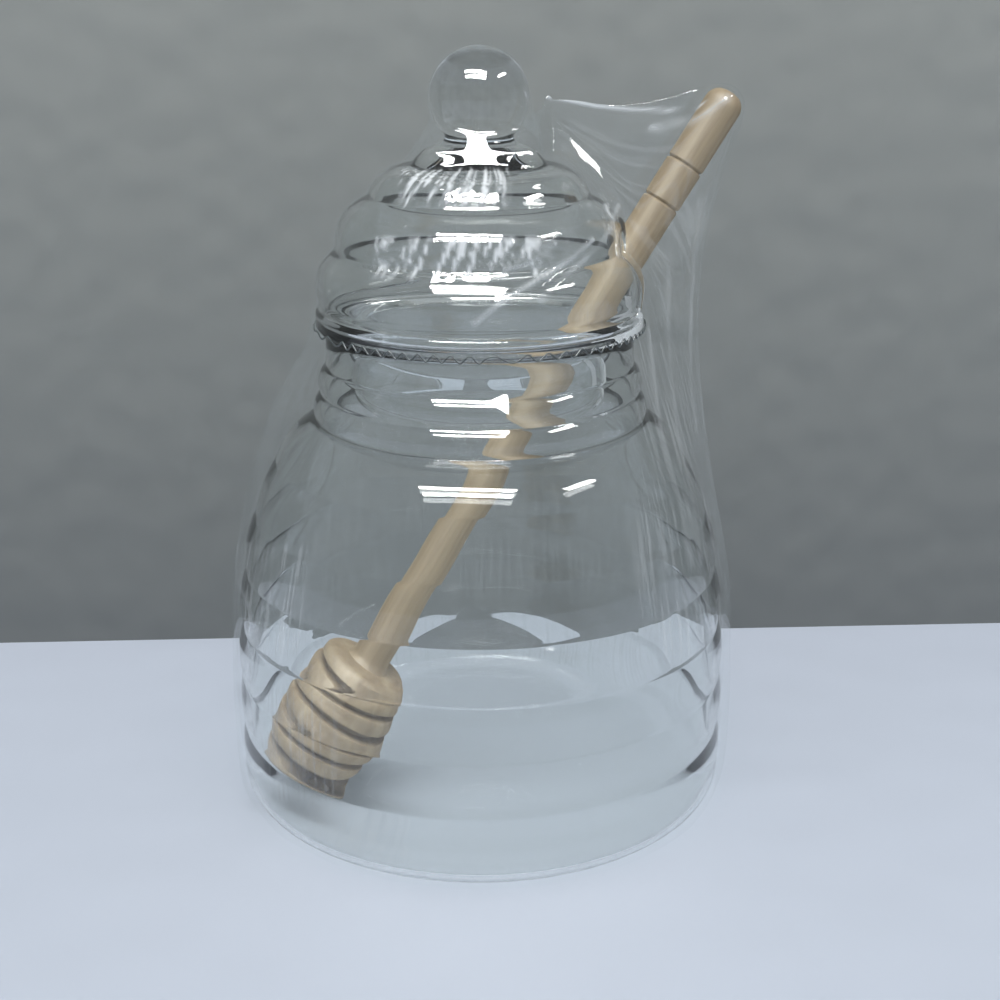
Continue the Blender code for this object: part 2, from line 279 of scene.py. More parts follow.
def bead_tree() -> bpy.types.NodeTree:
    """Builds the Geometry Nodes tree that lays a round bead along a path.

    Returns:
        The tree, with inputs for the bead's radius, its sides, whether its ends are closed, and its material.
    """
    takes = {
        "Geometry": ("NodeSocketGeometry", None),
        "Radius": ("NodeSocketFloat", 0.0005),
        "Sides": ("NodeSocketInt", 10),
        "Closed Ends": ("NodeSocketBool", True),
        "Material": ("NodeSocketMaterial", None),
    }
    tree, wire = group_of("bead_on_path", "GeometryNodeTree", takes, {"Geometry": "NodeSocketGeometry"})
    start = wire.add("NodeGroupInput")
    end = wire.add("NodeGroupOutput")
    path = wire.add("GeometryNodeMeshToCurve", {0: start.outputs["Geometry"]})
    sizes = {"Resolution": start.outputs["Sides"], "Radius": start.outputs["Radius"]}
    ring = wire.add("GeometryNodeCurvePrimitiveCircle", sizes)
    values = {"Curve": path.outputs[0], "Profile Curve": ring.outputs[0]}
    values["Fill Caps"] = start.outputs["Closed Ends"]
    tube = wire.add("GeometryNodeCurveToMesh", values)
    wire.dress(tube.outputs[0], start, end)
    return tree


def pleat_tree() -> bpy.types.NodeTree:
    """Builds the Geometry Nodes tree that raises pleats on the film where its two masks ask for them, and
    paints the leaning pleats' white streaks, which are painted glints.

    Returns:
        The tree, with inputs for the pleats' depth, how close they lie, their lean, and a seed.
    """
    takes = {
        "Geometry": ("NodeSocketGeometry", None),
        "Depth": ("NodeSocketFloat", 0.0003),
        "Closeness": ("NodeSocketFloat", 34.0),
        "Run": ("NodeSocketFloat", 30.0),
        "Leaning Closeness": ("NodeSocketFloat", 22.0),
        "Leaning Run": ("NodeSocketFloat", 130.0),
        "Lean": ("NodeSocketFloat", 15.0),
        "Seed": ("NodeSocketFloat", 3.0),
        "Material": ("NodeSocketMaterial", None),
    }
    tree, wire = group_of("film_pleats", "GeometryNodeTree", takes, {"Geometry": "NodeSocketGeometry"})
    start = wire.add("NodeGroupInput")
    end = wire.add("NodeGroupOutput")
    last = start.outputs["Geometry"]
    crest = wire.add("GeometryNodeInputNamedAttribute", {"Name": "crest"}, data_type="FLOAT").outputs[0]
    for cast in Cast:
        place = wire.add("ShaderNodeSeparateXYZ", {0: wire.add("GeometryNodeInputPosition").outputs[0]})
        x, y, z = place.outputs
        angle = wire.math("ARCTAN2", y, x)
        prefix = "Leaning " if cast is Cast.LEANING else ""
        if cast is Cast.LEANING:
            angle = wire.math("SUBTRACT", angle, wire.math("MULTIPLY", z, start.outputs["Lean"]))
        across = wire.math("MULTIPLY", angle, start.outputs[prefix + "Closeness"])
        along = wire.math("MULTIPLY", z, start.outputs[prefix + "Run"])
        spot = wire.add("ShaderNodeCombineXYZ", {0: across, 1: along})
        noise = wire.add(
            "ShaderNodeTexNoise",
            {"Vector": spot.outputs[0], "W": start.outputs["Seed"], "Scale": 1.0, "Detail": 2.0},
            noise_dimensions="4D",
        )
        centred = wire.math("SUBTRACT", noise.outputs[0], 0.5)
        slope = wire.math("ABSOLUTE", wire.math("MULTIPLY", centred, 4.0))
        ridge = wire.math("MAXIMUM", wire.math("SUBTRACT", 1.0, slope), 0.0)
        mask = wire.add("GeometryNodeInputNamedAttribute", {"Name": cast.value}, data_type="FLOAT")
        where = mask.outputs[0]
        height = wire.math("MULTIPLY", wire.math("MULTIPLY", ridge, where), start.outputs["Depth"])
        # Leaning pleats also paint white streaks into the crest attribute: painted glints.
        if cast is Cast.LEANING:
            painted_glint_streak = wire.math("MULTIPLY", centred, 9.0)
            white = wire.math("MULTIPLY", wire.math("MINIMUM", wire.math("MAXIMUM", painted_glint_streak, 0.0), 1.0), where)
            crest = wire.math("MAXIMUM", crest, white)
        facing = wire.add("GeometryNodeInputNormal").outputs[0]
        lift = wire.add("ShaderNodeVectorMath", {0: facing, "Scale": height}, operation="SCALE")
        last = wire.add("GeometryNodeSetPosition", {"Geometry": last, "Offset": lift.outputs[0]}).outputs[0]
    values = {"Geometry": start.outputs["Geometry"], "Name": "crest", "Value": crest}
    kept = wire.add("GeometryNodeStoreNamedAttribute", values, data_type="FLOAT", domain="POINT")
    first = next(node for node in tree.nodes if node.bl_idname == "GeometryNodeSetPosition")
    wire.join(kept.outputs[0], first.inputs["Geometry"])
    wire.dress(last, start, end)
    return tree


@dataclass
class Workshop:
    """Holds the shared trees, so that each is built once."""

    wave: bpy.types.NodeTree = field(default_factory=surface_wave_group)
    grain: bpy.types.NodeTree = field(default_factory=wood_grain_group)
    turning: bpy.types.NodeTree = field(default_factory=turning_tree)
    bead: bpy.types.NodeTree = field(default_factory=bead_tree)
    pleats: bpy.types.NodeTree = field(default_factory=pleat_tree)

    def shaped(
        self, piece: bpy.types.Object, tree: bpy.types.NodeTree, values: dict[str, object]
    ) -> bpy.types.Object:
        """Runs a Geometry Nodes tree on a piece and keeps the result as its plain mesh.

        Args:
            piece: the piece with the tree's starting geometry.
            tree: the Geometry Nodes tree.
            values: the tree's inputs by name.

        Returns:
            The same piece.
        """
        step = piece.modifiers.new(tree.name, "NODES")
        step.node_group = tree
        for item in tree.interface.items_tree:
            if item.item_type == "SOCKET" and item.in_out == "INPUT" and item.name in values:
                step[item.identifier] = values[item.name]
        return flattened(piece)

    def turned(
        self,
        piece: bpy.types.Object,
        segments: int,
        unevenness: float,
        seed: float,
        material: bpy.types.Material,
    ) -> bpy.types.Object:
        """Turns a piece's outline about Z.

        Args:
            piece: the piece, whose mesh is the outline.
            segments: faces to each turn.
            unevenness: how uneven its radius is.
            seed: where the unevenness is taken from.
            material: its material.

        Returns:
            The same piece.
        """
        values = {"Segments": segments, "Unevenness": unevenness, "Seed": seed, "Material": material}
        return self.shaped(piece, self.turning, values)

    def beaded(
        self, piece: bpy.types.Object, radius: float, sides: int, closed: bool, material: bpy.types.Material
    ) -> bpy.types.Object:
        """Lays a round bead along a piece's path.

        Args:
            piece: the piece, whose mesh is the path.
            radius: the bead's radius in millimetres.
            sides: faces round the bead.
            closed: True to close its ends.
            material: its material.

        Returns:
            The same piece.
        """
        values = {"Radius": radius * MM, "Sides": sides, "Closed Ends": closed, "Material": material}
        return self.shaped(piece, self.bead, values)


@dataclass(frozen=True)
class GlassFinish:
    """Clear soda glass with a faint grey-green tint and a slightly uneven surface.

    Args:
        name: the material's name.
        tint: colour of what passes through.
        wave_scale: how close the unevenness lies.
        wave_depth: how deep it looks.
        roughness: plain roughness.
        smear_roughness: roughness where the surface is smeared.
        shade: how much light passes to what stands behind the glass.
        solid_tint_and_painted_shade: colour of what passes through where the glass is solid: partly the thick
            glass's own tint, partly painted shade that darkens the knob.
        solid_above: height in metres from which it is solid.
        solid_fade: height over which it turns solid, to each side of that.
        most_turns: after this many turns, light trapped in the wall passes straight out.
    """

    name: str
    tint: tuple[float, float, float] = (0.926, 0.94, 0.934)
    wave_scale: float = 38.0
    wave_depth: float = 0.00006
    roughness: float = 0.0
    smear_roughness: float = 0.03
    shade: tuple[float, float, float] = (0.99, 0.994, 0.993)
    solid_tint_and_painted_shade: tuple[float, float, float] = (0.78, 0.79, 0.785)
    solid_above: float = 1.0
    solid_fade: float = 0.0015
    most_turns: float = 6.5

    def make(self, shop: Workshop) -> bpy.types.Material:
        """Builds the material."""
        made, wire = new_material(self.name, bare=True)
        place = wire.add("ShaderNodeTexCoord").outputs["Object"]
        wave = wire.add("ShaderNodeGroup", node_tree=shop.wave)
        wire.join(place, wave.inputs["Vector"])
        wave.inputs["Scale"].default_value = self.wave_scale
        relief = {"Height": wave.outputs["Height"], "Strength": 1.0, "Distance": self.wave_depth}
        bump = wire.add("ShaderNodeBump", relief)
        dull = {"From Min": 0.55, "From Max": 0.8, "To Min": self.roughness, "To Max": self.smear_roughness}
        smear = wire.add("ShaderNodeMapRange", {"Value": wave.outputs["Mask"], **dull})
        height = wire.add("ShaderNodeSeparateXYZ", {0: place}).outputs[2]
        # Where the glass is solid it takes the darker solid_tint_and_painted_shade: partly the thick glass's
        # tint, partly painted shade on the knob.
        low, high = self.solid_above - self.solid_fade, self.solid_above + self.solid_fade
        solid = wire.add("ShaderNodeMapRange", {"Value": height, "From Min": low, "From Max": high})
        tone = wire.blend(solid.outputs[0], self.tint, self.solid_tint_and_painted_shade)
        glass = wire.add(
            "ShaderNodeBsdfPrincipled",
            {
                "Base Color": tone,
                "Roughness": smear.outputs[0],
                "Metallic": 0.0,
                "IOR": 1.5,
                "Transmission Weight": 1.0,
                "Normal": bump.outputs[0],
            },
        )
        passing = wire.add("ShaderNodeBsdfTransparent", {"Color": (*self.shade, 1.0)})
        path = wire.add("ShaderNodeLightPath")
        straight = wire.math("MAXIMUM", path.outputs["Is Shadow Ray"], path.outputs["Is Diffuse Ray"])
        trapped = wire.math("GREATER_THAN", path.outputs["Ray Depth"], self.most_turns)
        unbent = wire.math("MAXIMUM", straight, trapped)
        mixed = wire.add("ShaderNodeMixShader", {0: unbent, 1: glass.outputs[0], 2: passing.outputs[0]})
        wire.add("ShaderNodeOutputMaterial", {"Surface": mixed.outputs[0]})
        return made


@dataclass(frozen=True)
class PaintedShadeLineFinish:
    """The thin near-black line along the flange's lower edge: painted shade standing in for the dark line
    where the film meets the flange.

    Args:
        name: the material's name.
        dark: colour in the hollows.
        pale: colour on the ridges.
    """

    name: str
    dark: tuple[float, float, float] = (0.018, 0.024, 0.026)
    pale: tuple[float, float, float] = (0.10, 0.12, 0.125)

    def make(self, shop: Workshop) -> bpy.types.Material:
        """Builds the material."""
        made, wire = new_material(self.name)
        shader = made.node_tree.nodes["Principled BSDF"]
        wave = wire.add("ShaderNodeGroup", node_tree=shop.wave)
        wire.join(wire.add("ShaderNodeTexCoord").outputs["Object"], wave.inputs["Vector"])
        wave.inputs["Scale"].default_value = 160.0
        wire.join(wire.blend(wave.outputs["Mask"], self.dark, self.pale), shader.inputs["Base Color"])
        shader.inputs["Roughness"].default_value = 0.35
        return made


@dataclass(frozen=True)
class WoodFinish:
    """Pale, bare, sanded wood with its grain along the dipper.

    Args:
        name: the material's name.
        pale: colour between the fibres.
        dark: colour of the fibres.
        line: Mapping turn that stands the grain on the dipper's axis.
    """

    name: str
    pale: tuple[float, float, float] = (0.425, 0.325, 0.195)
    dark: tuple[float, float, float] = (0.25, 0.175, 0.095)
    line: tuple[float, float, float] = (0.0, 0.0, 0.0)

    def make(self, shop: Workshop) -> bpy.types.Material:
        """Builds the material."""
        made, wire = new_material(self.name)
        shader = made.node_tree.nodes["Principled BSDF"]
        place = wire.add("ShaderNodeTexCoord").outputs["Object"]
        turned = wire.add("ShaderNodeMapping", {"Vector": place, "Rotation": self.line}, vector_type="POINT")
        grain = wire.add("ShaderNodeGroup", node_tree=shop.grain)
        wire.join(turned.outputs[0], grain.inputs["Vector"])
        mask, height = grain.outputs["Mask"], grain.outputs["Height"]
        share = wire.add("ShaderNodeMapRange", {"Value": mask, "From Min": 0.34, "From Max": 0.66})
        wire.join(wire.blend(share.outputs[0], self.pale, self.dark), shader.inputs["Base Color"])
        rough = wire.add("ShaderNodeMapRange", {"Value": height, "To Min": 0.5, "To Max": 0.75})
        wire.join(rough.outputs[0], shader.inputs["Roughness"])
        bump = wire.add("ShaderNodeBump", {"Height": height, "Strength": 0.5, "Distance": 0.0002})
        wire.join(bump.outputs[0], shader.inputs["Normal"])
        return made


@dataclass(frozen=True)
class FilmFinish:
    """Clear thin film: see-through, glossy, with a faint milky bloom, and white painted along the crests of
    its folds and pleats that partly stands in for glints.

    Args:
        name: the material's name.
        tint: colour of what passes through.
        gloss: share mirrored face on.
        most_gloss: share mirrored at a slant.
        bloom: milky share of what it sends back.
        milk_and_glint_share: white share painted along the crests of folds and pleats: partly the film's
            milky whitening, partly painted glints.
        shade: how much light passes to what stands behind the film.
        streak_closeness: fine streaks to each radian round the jar.
        streak_run: how often they break off, per metre of height.
        roughness: plain roughness of the gloss.
        streak_roughness: what a streak adds to it.
    """

    name: str
    tint: tuple[float, float, float] = (0.988, 0.994, 0.994)
    gloss: float = 0.035
    most_gloss: float = 0.17
    bloom: float = 0.15
    milk_and_glint_share: float = 0.85
    shade: tuple[float, float, float] = (0.95, 0.96, 0.962)
    streak_closeness: float = 90.0
    streak_run: float = 55.0
    roughness: float = 0.015
    streak_roughness: float = 0.04

    def streaks(self, wire: Wiring) -> bpy.types.NodeSocket:
        """Draws fine upright streaks round the jar.

        Args:
            wire: the material's wiring.

        Returns:
            A mask, 1 along the streaks.
        """
        place = wire.add("ShaderNodeSeparateXYZ", {0: wire.add("ShaderNodeTexCoord").outputs["Object"]})
        turn = wire.math("ARCTAN2", place.outputs[1], place.outputs[0])
        across = wire.math("MULTIPLY", turn, self.streak_closeness)
        along = wire.math("MULTIPLY", place.outputs[2], self.streak_run)
        spot = wire.add("ShaderNodeCombineXYZ", {0: across, 1: along})
        noise = wire.add("ShaderNodeTexNoise", {"Vector": spot.outputs[0], "Scale": 1.0, "Detail": 0.0})
        mask = wire.add("ShaderNodeMapRange", {"Value": noise.outputs[0], "From Min": 0.54, "From Max": 0.64})
        return mask.outputs[0]

    def make(self, shop: Workshop) -> bpy.types.Material:
        """Builds the material."""
        made, wire = new_material(self.name, bare=True)
        streaks = self.streaks(wire)
        span = {"To Min": self.roughness, "To Max": self.roughness + self.streak_roughness}
        rough = wire.add("ShaderNodeMapRange", {"Value": streaks, **span})
        white = (1.0, 1.0, 1.0, 1.0)
        gloss = wire.add("ShaderNodeBsdfGlossy", {"Color": white, "Roughness": rough.outputs[0]})
        milk = wire.add("ShaderNodeBsdfDiffuse", {"Color": (0.9, 0.93, 0.95, 1.0)})
        skin = wire.add("ShaderNodeMixShader", {0: self.bloom, 1: gloss.outputs[0], 2: milk.outputs[0]})
        clear = wire.add("ShaderNodeBsdfTransparent", {"Color": (*self.tint, 1.0)})
        edge = wire.add("ShaderNodeLayerWeight", {"Blend": 0.5}).outputs["Facing"]
        rising = wire.math("MULTIPLY", wire.math("POWER", edge, 6.0), 1.0 - self.gloss)
        share = wire.math("MINIMUM", wire.math("ADD", rising, self.gloss), self.most_gloss)
        mixed = wire.add("ShaderNodeMixShader", {0: share, 1: clear.outputs[0], 2: skin.outputs[0]})
        crest, upright = (
            wire.add("ShaderNodeAttribute", attribute_name=name, attribute_type="GEOMETRY").outputs["Fac"]
            for name in ("crest", Cast.UPRIGHT.value)
        )
        # Crests and upright streaks are painted with the milky diffuse: partly the film's own milky
        # whitening, partly painted glints.
        marked = wire.math("MAXIMUM", crest, wire.math("MULTIPLY", streaks, upright))
        painted_glint_and_milk = wire.math("MULTIPLY", marked, self.milk_and_glint_share)
        dressed = wire.add("ShaderNodeMixShader", {0: painted_glint_and_milk, 1: mixed.outputs[0], 2: milk.outputs[0]})
        passing = wire.add("ShaderNodeBsdfTransparent", {"Color": (*self.shade, 1.0)})
        path = wire.add("ShaderNodeLightPath")
        straight = wire.math("MAXIMUM", path.outputs["Is Shadow Ray"], path.outputs["Is Diffuse Ray"])
        cast = wire.add("ShaderNodeMixShader", {0: straight, 1: dressed.outputs[0], 2: passing.outputs[0]})
        wire.add("ShaderNodeOutputMaterial", {"Surface": cast.outputs[0]})
        return made


@dataclass(frozen=True)
class StageFinish:
    """A plain stage surface with a faint unevenness, and where asked a painted shade that darkens it towards
    its foot.

    Args:
        name: the material's name.
        low: one end of its colour.
        high: the other end.
        painted_shade_rise: height over which the colour goes from low to high, in metres, a painted shade of
            the light falling off downwards, or 0 for a mottle alone.
        closeness: how close the mottle lies.
        mottle: how strong it is beside the rise.
        roughness: plain roughness.
        one_sided: True if it is only there for what looks at its front.
    """

    name: str
    low: tuple[float, float, float]
    high: tuple[float, float, float]
    painted_shade_rise: float = 0.0
    closeness: float = 9.0
    mottle: float = 0.04
    roughness: float = 0.55
    one_sided: bool = False

    def make(self, shop: Workshop) -> bpy.types.Material:
        """Builds the material."""
        made, wire = new_material(self.name)
        shader = made.node_tree.nodes["Principled BSDF"]
        place = wire.add("ShaderNodeTexCoord").outputs["Object"]
        wave = wire.add("ShaderNodeGroup", node_tree=shop.wave)
        wire.join(place, wave.inputs["Vector"])
        wave.inputs["Scale"].default_value = self.closeness
        share = wave.outputs["Height"]
        # Painted shade: the colour darkens towards the foot as the light falls off.
        if self.painted_shade_rise:
            height = wire.add("ShaderNodeSeparateXYZ", {0: place}).outputs[2]
            mottle = wire.math("MULTIPLY", wire.math("SUBTRACT", share, 0.6), self.mottle)
            share = wire.math("ADD", wire.math("DIVIDE", height, self.painted_shade_rise), mottle)
        wire.join(wire.blend(share, self.low, self.high), shader.inputs["Base Color"])
        shader.inputs["Roughness"].default_value = self.roughness
        shader.inputs["Specular IOR Level"].default_value = 0.2
        relief = {"Height": wave.outputs["Mask"], "Strength": 0.35, "Distance": 0.002}
        bump = wire.add("ShaderNodeBump", relief)
        wire.join(bump.outputs[0], shader.inputs["Normal"])
        if self.one_sided:
            behind = wire.add("ShaderNodeNewGeometry").outputs["Backfacing"]
            gone = wire.add("ShaderNodeBsdfTransparent")
            mixed = wire.add("ShaderNodeMixShader", {0: behind, 1: shader.outputs[0], 2: gone.outputs[0]})
            wire.join(mixed.outputs[0], made.node_tree.nodes["Material Output"].inputs["Surface"])
        return made


def flattened(piece: bpy.types.Object) -> bpy.types.Object:
    """Replaces a piece's mesh with its evaluated one and removes its modifiers."""
    graph = bpy.context.evaluated_depsgraph_get()
    result = piece.evaluated_get(graph)
    made = bpy.data.meshes.new_from_object(result, preserve_all_data_layers=True, depsgraph=graph)
    piece.modifiers.clear()
    old = piece.data
    piece.data = made
    bpy.data.meshes.remove(old)
    made.name = piece.name
    return piece


def placed(name: str, mesh: bpy.types.Mesh) -> bpy.types.Object:
    """Makes an object of a mesh and links it to the scene."""
    made = bpy.data.objects.new(name, mesh)
    bpy.context.scene.collection.objects.link(made)
    return made


def chain(name: str, points: Sequence[Sequence[float]]) -> bpy.types.Object:
    """Makes a piece whose mesh is one open chain of edges, from points in millimetres."""
    mesh = bpy.data.meshes.new(name)
    mesh.from_pydata([Vector(p) * MM for p in points], [(i, i + 1) for i in range(len(points) - 1)], [])
    return placed(name, mesh)


def shaded(piece: bpy.types.Object, how: Shading) -> bpy.types.Object:
    """Turns a piece's faces outwards and shades it smooth, with creases where asked.

    Args:
        piece: the piece.
        how: round all over, or creased at sharp corners.

    Returns:
        The same piece.
    """
    shape = bmesh.new()
    shape.from_mesh(piece.data)
    bmesh.ops.remove_doubles(shape, verts=shape.verts, dist=WELD)
    bmesh.ops.dissolve_degenerate(shape, edges=shape.edges, dist=SLIVER)
    bmesh.ops.recalc_face_normals(shape, faces=shape.faces)
    shape.to_mesh(piece.data)
    shape.free()
    piece.data.polygons.foreach_set("use_smooth", [True] * len(piece.data.polygons))
    if how is Shading.CREASED:
        piece.data.set_sharp_from_angle(angle=math.radians(CREASE_ANGLE))
    return piece


def ribbed(
    grooves: Sequence[tuple[float, float]],
    bulges: Sequence[float],
    steps: int,
    share: float = 1.0,
    roundness: Sequence[float] = (0.95,) * 4,
) -> Outline:
    """Draws an outline through grooves, with a rounded rib standing out between each two.

    Args:
        grooves: each groove's radius and height.
        bulges: how far each rib stands out.
        steps: points to each rib.
        share: how much of the bulge is taken.
        roundness: for each rib, below 1 its grooves are crisp, above 1 they are soft.

    Returns:
        The outline from the first groove to the last.
    """
    points: Outline = []
    for (r0, z0), (r1, z1), bulge, power in zip(grooves, grooves[1:], bulges, roundness):
        length = math.hypot(r1 - r0, z1 - z0)
        out = ((z1 - z0) / length, (r0 - r1) / length)
        for step in range(steps):
            along = 0.5 - 0.5 * math.cos(math.pi * step / steps)
            lift = share * bulge * math.sin(math.pi * along) ** power
            points.append((r0 + (r1 - r0) * along + out[0] * lift, z0 + (z1 - z0) * along + out[1] * lift))
    points.append(tuple(grooves[-1]))
    return points


def softened(points: Outline, passes: int) -> Outline:
    """Rounds an outline's corners a little, keeping its two ends."""
    spots = np.array(points)
    for _ in range(passes):
        spots[1:-1] = 0.25 * spots[:-2] + 0.5 * spots[1:-1] + 0.25 * spots[2:]
    return [tuple(spot) for spot in spots.tolist()]


def set_in(points: Outline, wall: float) -> Outline:
    """Moves an outline inwards by the wall."""
    spots = np.array(points)
    run = np.gradient(spots, axis=0)
    run /= np.linalg.norm(run, axis=1)[:, None]
    return [(r - wall * dz, z + wall * dr) for (r, z), (dr, dz) in zip(points, run.tolist())]


def drawn(points: Outline, gap: float) -> Outline:
    """Fills an outline so that no two points are further apart than the gap.

    Args:
        points: corner points.
        gap: the largest distance left, in millimetres.

    Returns:
        The filled outline.
    """
    filled: Outline = [points[0]]
    for (r0, z0), (r1, z1) in zip(points, points[1:]):
        steps = max(1, math.ceil(math.hypot(r1 - r0, z1 - z0) / gap))
        filled += [(r0 + (r1 - r0) * k / steps, z0 + (z1 - z0) * k / steps) for k in range(1, steps + 1)]
    return filled


def arc(centre: tuple[float, float], radius: float, start: float, end: float, steps: int) -> Outline:
    """Draws an arc in the outline's plane, angles in degrees from straight out."""
    angles = [math.radians(start + (end - start) * step / steps) for step in range(steps + 1)]
    return [(centre[0] + radius * math.cos(a), centre[1] + radius * math.sin(a)) for a in angles]


@dataclass
class Jar:
    """The ribbed jar with its heel, shoulder, neck and rounded lip."""

    base_radius: float = 44.5
    heel: float = 6.0
    grooves: tuple = (
        (50.5, 8.5),
        (50.0, 15.5),
        (50.1, 26.6),
        (49.4, 37.6),
        (48.2, 49.0),
        (46.0, 60.4),
        (41.3, 71.6),
        (33.0, 79.8),
        (31.9, 85.3),
        (30.7, 90.8),
    )
    bulges: tuple = (0.3, 0.6, 0.8, 1.0, 1.0, 0.55, 1.5, 0.95, 0.95)
    roundness: tuple = (1.2, 1.2, 1.2, 1.1, 1.1, 1.1, 0.95, 0.95, 0.95)
    wall: float = 1.3
    floor: float = 2.5
    hollow: float = 0.4
    lip_top: float = 97.6
    inner_share: float = 0.86
    segments: int = 192
    unevenness: float = 0.006
    seed: float = 4.0

    def outside(self) -> Outline:
        """Draws the outer wall from the heel to the lip."""
        heel = arc((self.base_radius, self.heel), self.heel, -90, 0, 12)
        ribs = ribbed(self.grooves, self.bulges, 16, 1.0, self.roundness)
        return softened(heel + ribs + [(30.6, 92.5), (30.6, 94.5), (30.6, 96.2), (30.2, 97.1)], 1)

    def inside(self) -> Outline:
        """Draws the inner wall from the lip down to the middle of the floor."""
        follow = ribbed(self.grooves[1:], self.bulges[1:], 14, self.inner_share, self.roundness[1:])
        ribs = [point for point in set_in(follow, self.wall) if point[1] > self.grooves[1][1] + 0.5]
        bend = arc((self.base_radius, self.heel), self.heel - self.wall, 0, -80, 8)
        bowl = [(45.2, 1.4), (43.4, 1.5), (41.0, 1.8), (33.0, self.floor), (0.0, self.floor)]
        base = softened(drawn(bowl, 1.2), 6)
        return softened([(29.2, 96.0), (29.2, 94.0), (29.2, 92.5)] + ribs[::-1] + bend + base, 2)

    def outline(self) -> Outline:
        """Draws the whole section, from the middle of the underside round to the middle of the floor."""
        dished = [(0.0, self.hollow), (33.0, self.hollow), (40.5, 0.05), (41.5, 0.0), (43.5, 0.0)]
        underside = softened(drawn(dished, 0.9), 6)
        lip = [(29.9, self.lip_top), (29.5, 97.5), (29.25, 97.0)]
        return underside + self.outside() + lip + self.inside()

    def build(self, shop: Workshop, glass: bpy.types.Material) -> bpy.types.Object:
        """Turns the section into the jar.

        Args:
            shop: the shared trees.
            glass: the jar's material.

        Returns:
            The jar's piece.
        """
        piece = chain("ribbed_jar", [(r, 0.0, z) for r, z in self.outline()])
        shop.turned(piece, self.segments, self.unevenness, self.seed, glass)
        shaded(piece, Shading.ROUND)
        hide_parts("jar")
        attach(piece, "root")
        return piece


